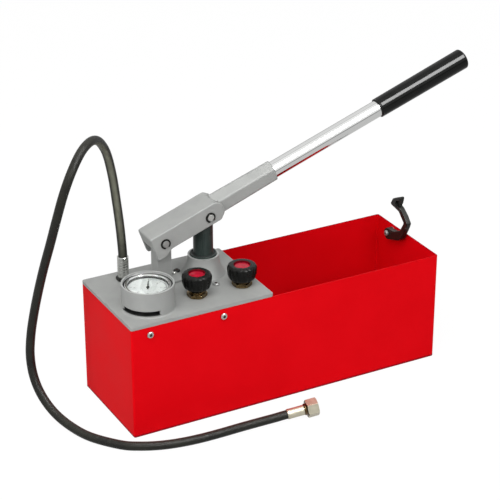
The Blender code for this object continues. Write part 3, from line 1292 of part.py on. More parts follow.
def build_hose():
    """The hose with the fitting that it leaves, and the ferrule, nipple and nut at its end."""
    x, y = HOSE_AXIS
    fitting = turned("hose_fitting", [(0, HOSE_NUT_TOP), (HOSE_STEM_RADIUS, HOSE_NUT_TOP),
                                      (HOSE_STEM_RADIUS, SEAT - HOSE_STEM_DROP),
                                      (0, SEAT - HOSE_STEM_DROP)], DARK_STEEL, SMALL_STEPS,
                     location=(x, y, 0))
    join(fitting, guide(hex_mesh("hose_nut", HOSE_NUT_HEX, HOSE_NUT_HEIGHT, FERRULE_EDGE),
                        "hose_nut", (x, y, SEAT)))
    turned("hose_ferrule", [(0, FERRULE_TOP), (FERRULE_RADIUS - FERRULE_EDGE, FERRULE_TOP),
                            (FERRULE_RADIUS, FERRULE_TOP - FERRULE_EDGE),
                            (FERRULE_RADIUS, FERRULE_BOTTOM), (0, FERRULE_BOTTOM)], STEEL,
           location=(x, y, 0))
    start, *route, end = [route_point(point) for point in HOSE_ROUTE]
    direction = (route_point(UNION_CENTRE) - end).normalized()
    stubs = (start + Vector((0, 0, HOSE_STUB)), end - direction * HOSE_STUB)
    middle = smooth_route([stubs[0], *route, stubs[1]], HOSE_POINT_SPACING)
    tube_object("hose", [start, *middle, end], HOSE_RADIUS, HOSE_BEVEL_RESOLUTION,
                BLACK_RUBBER)
    build_hose_end(end, direction)


def build_hose_end(end, direction):
    """The pieces past the hose's end, in a row along the union nut's axis."""
    where = {"location": end, "rotation": turn_to(direction)}
    start = CLEARANCE
    ferrule_end = start + END_FERRULE_LENGTH
    turned("hose_end_ferrule", [(0, ferrule_end), (END_FERRULE_RADIUS, ferrule_end),
                                (END_FERRULE_RADIUS, start), (0, start)], NICKEL, **where)
    collar = ferrule_end + CLEARANCE
    neck = collar + NIPPLE_COLLAR_LENGTH
    union_start = neck + CLEARANCE
    head = union_start + UNION_BACK + CLEARANCE
    face = head + NIPPLE_HEAD_LENGTH
    turned("hose_nipple", [(0, face), (NIPPLE_HEAD_RADIUS, face), (NIPPLE_HEAD_RADIUS, head),
                           (NIPPLE_NECK_RADIUS, head), (NIPPLE_NECK_RADIUS, neck),
                           (NIPPLE_COLLAR_RADIUS, neck), (NIPPLE_COLLAR_RADIUS, collar),
                           (0, collar)], NICKEL, **where)
    turned("union_gasket", ring_profile(GASKET_BORE, NIPPLE_HEAD_RADIUS, face + CLEARANCE,
                                        face + CLEARANCE + GASKET_THICKNESS), BLACK_RUBBER,
           SMALL_STEPS, True, **where)
    union = place(hex_mesh("union_nut", UNION_HEX, UNION_LENGTH, UNION_EDGE), "union_nut", BRASS,
                  end + direction * union_start,
                  (direction.to_track_quat("Z", "Y").to_matrix()
                   @ Matrix.Rotation(UNION_TURN, 3, "Z")).to_euler())
    bored(union, "union_back_hole", NIPPLE_NECK_RADIUS + CLEARANCE, (0, 0, -OVERRUN),
          UNION_BACK + 2 * OVERRUN, steps=SMALL_STEPS, parent=union)
    bored(union, "union_bore", UNION_BORE, (0, 0, UNION_BACK), UNION_LENGTH, parent=union)


# Latch hook
def build_hook():
    """The hook that holds the folded lever, its screw, washer and nut."""
    washer_x = INNER_END - CLEARANCE - HOOK_WASHER_THICKNESS
    middle = washer_x - CLEARANCE - HOOK_THICKNESS / 2
    axis = axis_empty("latch_hook_axis", (middle, *HOOK_PIVOT))
    arm = [Vector((y * HOOK_REACH, z * HOOK_REACH)) for y, z in HOOK_OUTLINE_SHARES]
    boss = [Vector((HOOK_BOSS * math.cos(math.radians(turn)),
                    HOOK_BOSS * math.sin(math.radians(turn))))
            for turn in range(80, -121, -20)]
    outer = rounded_outline(arm, HOOK_CORNER, 2) + boss
    hole = circle_outline((0, 0), SCREW_SHANK + CLEARANCE)
    mesh = outline_mesh("latch_hook", [outer, hole], HOOK_THICKNESS, HOOK_EDGE)
    mesh.transform(Matrix.Rotation(math.radians(90.0), 4, "Z")
                   @ Matrix.Rotation(math.radians(90.0), 4, "X"))
    place(mesh, "latch_hook", DARK_STEEL, parent=axis)
    sideways = turn_to((1, 0, 0))
    turned("hook_washer", ring_profile(SCREW_SHANK + CLEARANCE, HOOK_WASHER_RADIUS, 0,
                                       HOOK_WASHER_THICKNESS), STEEL, SMALL_STEPS, True,
           location=(washer_x, *HOOK_PIVOT), rotation=sideways)
    seat_x = middle - HOOK_THICKNESS / 2 - CLEARANCE
    outside = TANK_LENGTH / 2 + CLEARANCE
    button_screw("hook_screw", (seat_x, *HOOK_PIVOT), (1, 0, 0), HOOK_SCREW_HEAD,
                 HOOK_SCREW_HEAD_HEIGHT, SCREW_SHANK, outside + HOOK_NUT_HEIGHT - seat_x, STEEL)
    nut = place(hex_mesh("hook_nut", HOOK_NUT_HEX, HOOK_NUT_HEIGHT, PLATE_EDGE), "hook_nut",
                STEEL, (outside, *HOOK_PIVOT), sideways)
    bored(nut, "hook_nut_bore", SCREW_SHANK + CLEARANCE, (0, 0, -OVERRUN),
          HOOK_NUT_HEIGHT + 2 * OVERRUN, steps=SMALL_STEPS, parent=nut)


def main():
    """Build the whole pump."""
    build_tank()
    build_cover_plate()
    build_pump_body()
    build_screws()
    build_barrel()
    build_foot_valve()
    build_delivery_line()
    build_piston()
    lever = axis_empty("lever_axis", PIVOT, (0, -LEVER_ANGLE, 0))
    build_lever_head(lever)
    build_lever(lever)
    build_pins(lever)
    build_post()
    build_gauge()
    build_valve("pressure_valve", PRESSURE_VALVE, PRESSURE_VALVE_TURNS)
    build_valve("release_valve", RELEASE_VALVE, RELEASE_VALVE_TURNS)
    build_hose()
    build_hook()
    bpy.context.view_layer.update()


main()
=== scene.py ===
"""Looks of the hydrostatic test pump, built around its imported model.

Everything is in metres and in the model's own frame: +X runs along the tank towards the
latch hook, +Y to the back and +Z up from the middle of the tank's base.
"""
import json
import logging
import math
from collections.abc import Callable, Iterable, Sequence
from dataclasses import dataclass, field
from enum import Enum
from functools import cache

import bmesh
import bpy
from mathutils import Matrix, Vector

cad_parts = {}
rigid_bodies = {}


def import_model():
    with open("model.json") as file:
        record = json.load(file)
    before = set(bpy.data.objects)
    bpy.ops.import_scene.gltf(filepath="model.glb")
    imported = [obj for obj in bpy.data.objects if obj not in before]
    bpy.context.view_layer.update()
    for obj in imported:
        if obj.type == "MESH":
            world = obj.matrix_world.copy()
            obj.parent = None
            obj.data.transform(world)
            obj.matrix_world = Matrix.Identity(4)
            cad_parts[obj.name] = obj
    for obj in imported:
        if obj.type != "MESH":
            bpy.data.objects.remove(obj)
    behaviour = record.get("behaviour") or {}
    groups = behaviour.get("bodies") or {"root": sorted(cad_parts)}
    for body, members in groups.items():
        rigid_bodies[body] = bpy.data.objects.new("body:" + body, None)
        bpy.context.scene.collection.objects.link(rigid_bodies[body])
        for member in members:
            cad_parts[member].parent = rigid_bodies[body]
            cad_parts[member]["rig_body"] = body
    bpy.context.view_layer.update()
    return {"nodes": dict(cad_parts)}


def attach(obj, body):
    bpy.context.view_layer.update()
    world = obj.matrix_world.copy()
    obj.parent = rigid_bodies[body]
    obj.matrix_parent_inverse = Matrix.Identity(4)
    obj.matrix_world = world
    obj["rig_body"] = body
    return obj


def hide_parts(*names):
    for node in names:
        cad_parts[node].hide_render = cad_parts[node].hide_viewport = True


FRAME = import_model()
LOG = logging.getLogger("test_pump")

Shape = bmesh.types.BMesh
Face = bmesh.types.BMFace
Edge = bmesh.types.BMEdge
Node = bpy.types.Node
Socket = bpy.types.NodeSocket
Tree = bpy.types.ShaderNodeTree
Point = tuple[float, float, float]
Flat = tuple[float, float]
Colour = tuple[float, float, float]

MERGE = 0.00001
GAP = 0.0003
OVERRUN = 0.001
EDGE_LAYER = "edge"
SHARP_ANGLE = math.radians(34)

PLATE_TOP = 0.1784
SEAT = PLATE_TOP + GAP
PISTON_SPOT = (-0.086, 0.025)
GAUGE_SPOT = (-0.205, -0.036)
HOSE_SPOT = (-0.2005, 0.058)
HOSE_RADIUS = 0.0066
PIVOT = (-0.157, 0.025, 0.249)
LEVER_TILT = -19.6
SCREW_HOLE = 0.0033
SMALL_SCREW_HOLE = 0.0023
SCREW_HEIGHT = 0.1615
HOOK_SPOT = (0.0395, SCREW_HEIGHT)
PLATE_FACE = 0.0853
PLATE_SCREWS = {"left": -0.226, "right": -0.110}
BODY_SCREWS = {"left": (-0.120, 0.045), "right": (-0.0888, -0.021)}
POST_SCREWS = {"front": (-0.1787, 0.0162), "back": (-0.1297, 0.0338)}
LEVER_PLACE = Matrix.Translation(PIVOT) @ Matrix.Rotation(math.radians(LEVER_TILT), 4, "Y")
BAR_TURN = Matrix.Rotation(math.radians(90), 4, "Z") @ Matrix.Rotation(math.radians(90), 4, "X")
STAND_UP = Matrix.Rotation(math.radians(90), 4, "X")


class Join(Enum):
    """How one shape is worked into another."""

    ADD = "UNION"
    CUT = "DIFFERENCE"
    KEEP = "INTERSECT"


class ValvePlace(Enum):
    """The two valves: name, spot on the plate and lift of the knob at rest."""

    PRESSURE = ("pressure_valve", (-0.129, -0.039), 0.003)
    RELEASE = ("release_valve", (-0.056, -0.0395), 0.0)


# Shapes
def aimed(place: Sequence[float], direction: Sequence[float]) -> Matrix:
    """Give the matrix that stands a shape at a place with its Z axis along a direction."""
    turn = Vector(direction).to_track_quat("Z", "Y").to_matrix().to_4x4()
    return Matrix.Translation(place) @ turn


def stood(spot: Flat, height: float = 0.0, turn: float = 0.0) -> Matrix:
    """Give the matrix that stands a shape on a spot of the plan, turned by degrees."""
    return Matrix.Translation((*spot, height)) @ Matrix.Rotation(math.radians(turn), 4, "Z")


def arc(centre: Flat, radii: Flat, start: float, end: float, steps: int) -> list[Flat]:
    """List points along an arc or a part of an ellipse.

    Args:
        centre: Its centre.
        radii: Half its width and half its height.
        start, end: Directions in degrees of the first point and the last.
        steps: Number of stretches between the points.

    Returns:
        The points.
    """
    turns = [math.radians(start + (end - start) * step / steps) for step in range(steps + 1)]
    return [(centre[0] + radii[0] * math.cos(turn), centre[1] + radii[1] * math.sin(turn))
            for turn in turns]


def upright_edges(bm: Shape) -> list[Edge]:
    """List a shape's edges that run along Z."""
    return [edge for edge in bm.edges
            if (edge.verts[0].co.xy - edge.verts[1].co.xy).length < MERGE]


def rounded(bm: Shape, edges: Sequence[Edge], radius: float, segments: int,
            clamp: bool = False) -> Shape:
    """Round some edges of a shape.

    Args:
        bm: The shape.
        edges: The edges.
        radius: Radius of the rounds.
        segments: Number of faces across a round.
        clamp: Whether rounds that would overlap are made smaller.

    Returns:
        The same shape.
    """
    bmesh.ops.bevel(bm, geom=edges, offset=radius, segments=segments, profile=0.5,
                    affect="EDGES", clamp_overlap=clamp, material=-1)
    return bm


def box(x_range: Flat, y_range: Flat, z_range: Flat, corner: float = 0.0) -> Shape:
    """Make a block between three ranges.

    Args:
        x_range, y_range, z_range: The lowest and highest place on each axis.
        corner: Radius of its upright edges.

    Returns:
        The block.
    """
    bm = bmesh.new()
    bmesh.ops.create_cube(bm, size=1)
    ranges = (x_range, y_range, z_range)
    bmesh.ops.scale(bm, vec=[high - low for low, high in ranges], verts=bm.verts)
    bmesh.ops.translate(bm, vec=[(high + low) / 2 for low, high in ranges], verts=bm.verts)
    return rounded(bm, upright_edges(bm), corner, segments=6) if corner else bm


def rod(radius: float, low: float, high: float, steps: int = 48) -> Shape:
    """Make a cylinder on the Z axis between two heights, with that many sides."""
    bm = bmesh.new()
    bmesh.ops.create_cone(bm, cap_ends=True, segments=steps, radius1=radius, radius2=radius,
                          depth=high - low)
    bmesh.ops.translate(bm, vec=(0, 0, (low + high) / 2), verts=bm.verts)
    return bm


def turned(profile: Iterable[Flat], steps: int = 64, closed: bool = False,
           angle: float = math.tau) -> Shape:
    """Turn a profile about the Z axis.

    Args:
        profile: Radius and height of each point; an open profile's ends are joined to the axis.
        steps: Number of faces round the shape.
        closed: Whether the last point joins the first, as in a ring.
        angle: How far to turn; less than a full turn leaves a gap with capped ends.

    Returns:
        The turned shape, with its faces outwards.
    """
    bm = bmesh.new()
    points = list(profile)
    if not closed:
        points = [(0, points[0][1]), *points, (0, points[-1][1])]
    verts = [bm.verts.new((radius, 0, height)) for radius, height in points]
    edges = [bm.edges.new(pair) for pair in zip(verts, verts[1:])]
    if closed:
        edges.append(bm.edges.new((verts[-1], verts[0])))
    bmesh.ops.spin(bm, geom=[*verts, *edges], cent=(0, 0, 0), axis=(0, 0, 1), angle=angle,
                   steps=steps, use_merge=angle == math.tau, use_duplicate=False)
    bmesh.ops.remove_doubles(bm, verts=bm.verts, dist=MERGE)
    bmesh.ops.holes_fill(bm, edges=[edge for edge in bm.edges if edge.is_boundary])
    bmesh.ops.recalc_face_normals(bm, faces=bm.faces)
    return bm


def ring(radii: Flat, heights: Flat, steps: int = 48, angle: float = math.tau) -> Shape:
    """Turn a ring of square section between two radii and two heights."""
    (inner, outer), (low, high) = radii, heights
    return turned([(inner, low), (outer, low), (outer, high), (inner, high)], steps, True, angle)


def prism(outline: Iterable[Flat], thickness: float, corner: float = 0.0) -> Shape:
    """Extrude an outline evenly to both sides of the XY plane.

    Args:
        outline: The outline's corners in order.
        thickness: Its full thickness along Z.
        corner: Radius of the corners.

    Returns:
        The closed shape.
    """
    bm = bmesh.new()
    face = bm.faces.new([bm.verts.new((x, y, -thickness / 2)) for x, y in outline])
    grown = bmesh.ops.extrude_face_region(bm, geom=[face])["geom"]
    lifted = [item for item in grown if isinstance(item, bmesh.types.BMVert)]
    bmesh.ops.translate(bm, vec=(0, 0, thickness), verts=lifted)
    bmesh.ops.recalc_face_normals(bm, faces=bm.faces)
    return rounded(bm, upright_edges(bm), corner, segments=5) if corner else bm


def hexagon(across: float, low: float, high: float, chamfer: float = 0.0,
            slope: float = 0.6) -> Shape:
    """Make a hexagonal bar whose ends are turned down as a nut's are.

    Args:
        across: Width across its flats.
        low, high: Heights of its ends.
        chamfer: How far each corner is turned down at the ends.
        slope: Height of that chamfer against its width.

    Returns:
        The bar.
    """
    corner = across / math.sqrt(3)
    bm = rod(corner, low, high, 6)
    if chamfer:
        drop = chamfer * slope
        blank = turned([(corner - chamfer, low), (corner + MERGE, low + drop),
                        (corner + MERGE, high - drop), (corner - chamfer, high)], steps=72)
        bm = worked(bm, blank, Join.KEEP)
    return bm


def as_object(bm: Shape, name: str) -> bpy.types.Object:
    """Put a shape into the scene as an object."""
    mesh = bpy.data.meshes.new(name)
    bm.to_mesh(mesh)
    bm.free()
    piece = bpy.data.objects.new(name, mesh)
    bpy.context.scene.collection.objects.link(piece)
    return piece


def taken_back(piece: bpy.types.Object) -> Shape:
    """Turn an object with its modifiers back into a shape, and drop the object."""
    graph = bpy.context.evaluated_depsgraph_get()
    mesh = bpy.data.meshes.new_from_object(piece.evaluated_get(graph))
    bm = bmesh.new()
    bm.from_mesh(mesh)
    bpy.data.meshes.remove(mesh)
    bpy.data.meshes.remove(piece.data)
    return bm


def worked(bm: Shape, tool: Shape, join: Join) -> Shape:
    """Join a tool to a shape, cut it out or keep what both share.

    Args:
        bm: The shape, which is used up.
        tool: The tool, which is used up.
        join: What the tool does.

    Returns:
        The new shape.
    """
    piece, cutter = as_object(bm, "work"), as_object(tool, "tool")
    change = piece.modifiers.new("join", "BOOLEAN")
    change.object = cutter
    change.operation = join.value
    change.solver = "EXACT"
    result = taken_back(piece)
    bpy.data.meshes.remove(cutter.data)
    bmesh.ops.remove_doubles(result, verts=result.verts, dist=MERGE)
    return result


def drilled(bm: Shape, holes: Iterable[tuple[float, Matrix, float]]) -> Shape:
    """Drill round holes into a shape.

    Args:
        bm: The shape.
        holes: Radius, start with direction, and depth of each hole.

    Returns:
        The drilled shape.
    """
    for radius, start, depth in holes:
        tool = rod(radius, 0, depth, 40)
        tool.transform(start)
        bm = worked(bm, tool, Join.CUT)
    return bm


def softened(bm: Shape, width: float, segments: int = 3, angle: float = 40.0) -> Shape:
    """Round the sharp edges of a shape and mark the rounds, where finishes lay rubbed colour and
    painted glints.

    Args:
        bm: The shape.
        width: How far each round reaches from its edge.
        segments: Number of faces across a round.
        angle: The least angle in degrees between the faces of an edge that is rounded.

    Returns:
        The same shape.
    """
    bm.normal_update()
    limit = math.radians(angle)
    layer = bm.faces.layers.float.get(EDGE_LAYER) or bm.faces.layers.float.new(EDGE_LAYER)
    sharp = [edge for edge in bm.edges if edge.is_manifold and edge.calc_face_angle() > limit]
    made = bmesh.ops.bevel(bm, geom=sharp, offset=width, segments=segments, profile=0.5,
                           affect="EDGES", clamp_overlap=True, loop_slide=True, material=-1)
    for face in made["faces"]:
        face[layer] = 1.0
    return bm


def merged(shapes: Sequence[Shape]) -> Shape:
    """Lay several closed shapes into one."""
    first, *others = shapes
    for other in others:
        mesh = bpy.data.meshes.new("part")
        other.to_mesh(mesh)
        other.free()
        first.from_mesh(mesh)
        bpy.data.meshes.remove(mesh)
    return first


# Shader nodes
NOISE: Flat = (0.3, 0.7)
WEAR_START = 0.85
WEAR_SHARPNESS = 9.0
DUST_RISE: Flat = (0.3, 1.0)
DUST_NOISE: Flat = (0.35, 0.7)
DUST_LEAST = 0.2


class Web:
    """One node tree, whose nodes are added and linked in a line each."""

    def __init__(self, tree: bpy.types.NodeTree) -> None:
        """Keep the tree."""
        self.tree = tree

    def add(self, kind: str, inputs: dict[str | int, object] | None = None,
            **settings: object) -> Node:
        """Add a shader node.

        Args:
            kind: The node's type, without its first word.
            inputs: A value or a socket for each named input.
            **settings: Settings of the node itself.

        Returns:
            The node.
        """
        node = self.tree.nodes.new("ShaderNode" + kind)
        for key, value in settings.items():
            setattr(node, key, value)
        for key, value in (inputs or {}).items():
            if isinstance(value, Socket):
                self.tree.links.new(value, node.inputs[key])
            else:
                node.inputs[key].default_value = value
        return node

    def sum(self, operation: str, *terms: object) -> Socket:
        """Give the result of a Math node."""
        return self.add("Math", dict(enumerate(terms)), operation=operation).outputs[0]

    def span(self, value: object, from_low: float, from_high: float, to_low: object,
             to_high: object) -> Socket:
        """Give a value carried from one range to another."""
        ends = {"Value": value, "From Min": from_low, "From Max": from_high,
                "To Min": to_low, "To Max": to_high}
        return self.add("MapRange", ends).outputs["Result"]

    def blend(self, share: object, first: object, second: object, how: str = "MIX") -> Socket:
        """Give two colours mixed by a share."""
        node = self.add("Mix", {0: share, 6: first, 7: second}, data_type="RGBA",
                        blend_type=how)
        return node.outputs[2]

    def group(self, tree: Tree, **inputs: object) -> Socket:
        """Add a group with values or sockets for its inputs, and give its output."""
        return self.add("Group", inputs, node_tree=tree).outputs[0]

    def finished(self, value: Socket) -> Tree:
        """End a group with the value that it gives."""
        self.tree.links.new(value, self.tree.nodes.new("NodeGroupOutput").inputs[0])
        return self.tree


def new_group(name: str, inputs: dict[str, float | None],
              output: str) -> tuple[Web, bpy.types.NodeOutputs]:
    """Start a node group with one output.

    Args:
        name: The group's name.
        inputs: Each input's name, with its usual value, or None for a vector.
        output: The output's name.

    Returns:
        The group's nodes, and what comes in.
    """
    tree = bpy.data.node_groups.new(name, "ShaderNodeTree")
    for key, value in inputs.items():
        kind = "NodeSocketVector" if value is None else "NodeSocketFloat"
        socket = tree.interface.new_socket(key, in_out="INPUT", socket_type=kind)
        if value is not None:
            socket.default_value = value
    tree.interface.new_socket(output, in_out="OUTPUT", socket_type="NodeSocketFloat")
    return Web(tree), tree.nodes.new("NodeGroupInput").outputs


def noise(web: Web, given: bpy.types.NodeOutputs, **settings: float) -> Socket:
    """Give noise at a group's own vector and scale."""
    inputs = {"Vector": given["Vector"], "Scale": given["Scale"], **settings}
    return web.add("TexNoise", inputs).outputs[0]


@cache
def mottle_group() -> Tree:
    """Slow, uneven change over a surface, between a low and a high value."""
    web, given = new_group("mottle", {"Vector": None, "Scale": 30.0, "Low": 0.9, "High": 1.1},
                           "Value")
    change = noise(web, given, Detail=4.0)
    return web.finished(web.span(change, *NOISE, given["Low"], given["High"]))


@cache
def grain_group() -> Tree:
    """Fine pits and swells, as on castings, moulded plastic and sprayed coats."""
    web, given = new_group("grain", {"Vector": None, "Scale": 900.0, "Pits": 0.5}, "Height")
    cells = web.add("TexVoronoi", {"Vector": given["Vector"], "Scale": given["Scale"]},
                    feature="SMOOTH_F1")
    pits = web.sum("MULTIPLY", cells.outputs["Distance"], given["Pits"])
    return web.finished(web.sum("ADD", noise(web, given, Detail=3.0, Roughness=0.55), pits))


@cache
def wear_and_glint_group() -> Tree:
    """Broken patches along the rounds that a piece's own edge attribute marks."""
    web, given = new_group("edge_wear_and_glint", {"Vector": None, "Scale": 120.0, "Amount": 0.5}, "Mask")
    edge = web.add("Attribute", attribute_name=EDGE_LAYER).outputs["Fac"]
    start = web.sum("SUBTRACT", WEAR_START, web.sum("MULTIPLY", given["Amount"], 0.5))
    rough = noise(web, given, Detail=6.0, Roughness=0.65)
    broken = web.sum("MULTIPLY", web.sum("SUBTRACT", rough, start), WEAR_SHARPNESS)
    patch = web.add("Clamp", {"Value": broken}).outputs[0]
    return web.finished(web.sum("MULTIPLY", patch, edge))


@cache
def dust_group() -> Tree:
    """Thin dust that settles unevenly on faces that look up."""
    web, given = new_group("dust", {"Vector": None, "Scale": 60.0, "Amount": 0.1}, "Mask")
    rise = web.add("SeparateXYZ", {0: web.add("NewGeometry").outputs["Normal"]}).outputs["Z"]
    lying = web.span(rise, *DUST_RISE, 0.0, 1.0)
    spread = web.span(noise(web, given, Detail=5.0), *DUST_NOISE, DUST_LEAST, 1.0)
    return web.finished(web.sum("MULTIPLY", web.sum("MULTIPLY", lying, spread), given["Amount"]))


@cache
def streak_group() -> Tree:
    """Fine lines along one direction, as a lathe, a mill or a polishing belt leaves them."""
    web, given = new_group("streaks", {"Vector": None, "Along": 30.0, "Across": 2500.0}, "Value")
    stretch = web.add("CombineXYZ", {0: given["Along"], 1: given["Across"], 2: given["Across"]})
    place = web.add("VectorMath", {0: given["Vector"], 1: stretch.outputs[0]},
                    operation="MULTIPLY")
    lines = web.add("TexNoise", {"Vector": place.outputs[0], "Scale": 1.0, "Detail": 2.0})
    return web.finished(lines.outputs[0])


@cache
def weave_group() -> Tree:
    """The print of a wrapped cloth on a hose, from a place in metres round and along it."""
    web, given = new_group("wrap_weave", {"Vector": None, "Pitch": 0.0011}, "Height")
    parts = web.add("SeparateXYZ", {0: given["Vector"]}).outputs
    turns = web.sum("DIVIDE", math.tau, given["Pitch"])
    waves = []
    for sign in ("ADD", "SUBTRACT"):
        slant = web.sum(sign, parts["X"], parts["Y"])
        waves.append(web.sum("SINE", web.sum("MULTIPLY", slant, turns)))
    return web.finished(web.sum("MAXIMUM", *waves))


# Finishes
@dataclass(frozen=True)
class Finish:
    """A coat or metal: its colour, its gloss and the small marks that it shows, some of them
    painted light and shade.

    Scales are in marks per metre, and depths in metres.
    """

    name: str
    slot: str
    colour: Colour
    shade: Colour
    roughness: float = 0.4
    spread: float = 0.06
    metallic: float = 0.0
    specular: float = 0.5
    mottle: float = 25.0
    grain: float = 900.0
    pits: float = 0.5
    depth: float = 0.00002
    # How strongly the rounds take the colour below, and that colour; it stands for rubbed edges,
    # for painted glints on some finishes, and is also laid in the painted contact shade.
    wear_and_glint: float = 0.0
    worn_glint_and_shade: Colour = (0.5, 0.5, 0.5)
    dust: float = 0.0
    dust_colour: Colour = (0.62, 0.60, 0.57)
    dust_dulls: float = 0.4
    along: float = 30.0
    across: float = 2500.0
    streaks: float = 0.0
    # Height of a band at a piece's foot that darkens towards the rounds' colour: painted contact
    # shade where the piece meets the floor.
    contact_shade: float = 0.0
    contact_shade_full: float = 0.45
    contact_shade_share: float = 0.8

    def start(self) -> tuple[Web, Node, Socket]:
        """Make an empty material of this finish.

        Returns:
            Its nodes, its shader and the coordinates of its pattern.
        """
        material = bpy.data.materials.new(self.name)
        material.use_nodes = True
        material.diffuse_color = (*self.colour, 1.0)
        web = Web(material.node_tree)
        shader = web.tree.nodes["Principled BSDF"]
        shader.inputs["Specular IOR Level"].default_value = self.specular
        shader.inputs["Metallic"].default_value = self.metallic
        return web, shader, web.add("TexCoord").outputs["Object"]

    def mottled(self, web: Web, place: Socket) -> tuple[Socket, Socket]:
        """Give the colour and the gloss with their slow change over the surface."""
        share = web.group(mottle_group(), Vector=place, Scale=self.mottle, Low=0.0, High=1.0)
        gloss = web.span(share, 0.0, 1.0, self.roughness - self.spread,
                         self.roughness + self.spread)
        return web.blend(share, (*self.colour, 1), (*self.shade, 1)), gloss

    def linked(self, web: Web, shader: Node, colour: Socket, gloss: Socket, height: Socket,
               depth: float) -> None:
        """Link a colour, a gloss and a relief of some depth to the shader."""
        bump = web.add("Bump", {"Height": height, "Distance": depth, "Strength": 1.0})
        for key, socket in (("Base Color", colour), ("Roughness", gloss),
                            ("Normal", bump.outputs[0])):
            web.tree.links.new(socket, shader.inputs[key])

    def paint(self, web: Web, shader: Node, place: Socket) -> None:
        """Link the colour, the gloss and the relief to the shader."""
        colour, gloss = self.mottled(web, place)
        height = web.group(grain_group(), Vector=place, Scale=self.grain, Pits=self.pits)
        if self.streaks:
            lines = web.group(streak_group(), Vector=place, Along=self.along, Across=self.across)
            height = web.sum("ADD", height, web.sum("MULTIPLY", lines, self.streaks))
            gloss = web.sum("ADD", gloss, web.span(lines, *NOISE, -self.spread, self.spread))
        # Along the rounds: rubbed edges on most finishes, partly painted glints on the brass and
        # the blackened steel, darker maroon rounds on the red coat.
        if self.wear_and_glint:
            mask = web.group(wear_and_glint_group(), Vector=place, Amount=self.wear_and_glint)
            colour = web.blend(mask, colour, (*self.worn_glint_and_shade, 1))
        # Painted contact shade: the colour darkens towards the piece's foot within the band.
        if self.contact_shade:
            above = web.add("SeparateXYZ", {0: place}).outputs["Z"]
            mask = web.span(above, self.contact_shade * self.contact_shade_full, self.contact_shade, self.contact_shade_share,
                            0.0)
            colour = web.blend(mask, colour, (*self.worn_glint_and_shade, 1))
        if self.dust:
            mask = web.group(dust_group(), Vector=place, Amount=self.dust)
            colour = web.blend(mask, colour, (*self.dust_colour, 1))
            gloss = web.sum("ADD", gloss, web.sum("MULTIPLY", mask, self.dust_dulls))
        self.linked(web, shader, colour, gloss, height, self.depth)

    def material(self) -> bpy.types.Material:
        """Give the material of this finish, made once."""
        found = bpy.data.materials.get(self.name)
        if found:
            return found
        web, shader, place = self.start()
        self.paint(web, shader, place)
        return bpy.data.materials[self.name]


@dataclass(frozen=True)
class HoseRubber(Finish):
    """Black hose rubber with the print of the cloth that it was wrapped in, and a painted sheen
    along one side near the screwed end.
    """

    dust_colour: Colour = (0.30, 0.29, 0.25)
    dust_scale: float = 140.0
    pits: float = 0.3
    grain_share: float = 0.5
    pitch: float = 0.0013
    print_depth: float = 0.00006
    # Painted sheen: a lighter olive stripe along one side of the hose, fading at both ends and
    # broken into patches.
    painted_sheen: Colour = (0.165, 0.165, 0.125)
    sheen_share: float = 0.95
    sheen_edge: float = 0.70
    sheen_start: Flat = (-0.02, 0.05)
    sheen_end: Flat = (0.31, 0.22)
    patch_scale: float = 60.0
    patch_least: float = 0.55

    def sheened(self, web: Web, wrap: Socket, colour: Socket) -> Socket:
        """Give the colour with a painted sheen along one side, near the screwed end.

        Args:
            web: The material's nodes.
            wrap: The way around and the way along the hose, in metres.
            colour: The colour without the painted sheen.

        Returns:
            The colour.
        """
        ways = web.add("SeparateXYZ", {0: wrap}).outputs
        facing = web.sum("COSINE", web.sum("DIVIDE", ways["X"], HOSE_RADIUS))
        side = web.span(facing, self.sheen_edge, 1.0, 0.0, self.sheen_share)
        start = web.span(ways["Y"], *self.sheen_start, 0.0, 1.0)
        end = web.span(ways["Y"], *self.sheen_end, 0.0, 1.0)
        patch = web.group(mottle_group(), Vector=wrap, Scale=self.patch_scale,
                          Low=self.patch_least, High=1.0)
        share = web.sum("MULTIPLY", web.sum("MULTIPLY", start, end),
                        web.sum("MULTIPLY", side, patch))
        return web.blend(share, colour, (*self.painted_sheen, 1))

    def paint(self, web: Web, shader: Node, place: Socket) -> None:
        """Link the rubber's colour, its gloss and the print to the shader."""
        wrap = web.add("UVMap", uv_map="UVMap").outputs[0]
        weave = web.group(weave_group(), Vector=wrap, Pitch=self.pitch)
        colour, gloss = self.mottled(web, place)
        mask = web.group(dust_group(), Vector=place, Scale=self.dust_scale, Amount=self.dust)
        colour = self.sheened(web, wrap, web.blend(mask, colour, (*self.dust_colour, 1)))
        fine = web.group(grain_group(), Vector=place, Scale=self.grain, Pits=self.pits)
        height = web.sum("ADD", weave, web.sum("MULTIPLY", fine, self.grain_share))
        self.linked(web, shader, colour, gloss, height, self.print_depth)


@dataclass(frozen=True)
class Glass(Finish):
    """Clear glass with faint wipe marks."""

    index: float = 1.45

    def paint(self, web: Web, shader: Node, place: Socket) -> None:
        """Make the shader clear and link the wipe marks to its gloss."""
        shader.inputs["Transmission Weight"].default_value = 1.0
        shader.inputs["IOR"].default_value = self.index
        colour, gloss = self.mottled(web, place)
        web.tree.links.new(colour, shader.inputs["Base Color"])
        web.tree.links.new(gloss, shader.inputs["Roughness"])


# The red coat: its rounded rim and hole edges turn dark maroon, and a band at its foot takes the
# same maroon as painted contact shade.
RED_COAT = Finish("red_powder_coat", "red_paint", (0.66, 0.0016, 0.0050), (0.70, 0.002, 0.006),
                  roughness=0.38, spread=0.05, specular=0.02, mottle=14.0, grain=620.0, pits=0.3,
                  wear_and_glint=1.4, worn_glint_and_shade=(0.17, 0.004, 0.010), dust=0.01, contact_shade=0.0048)
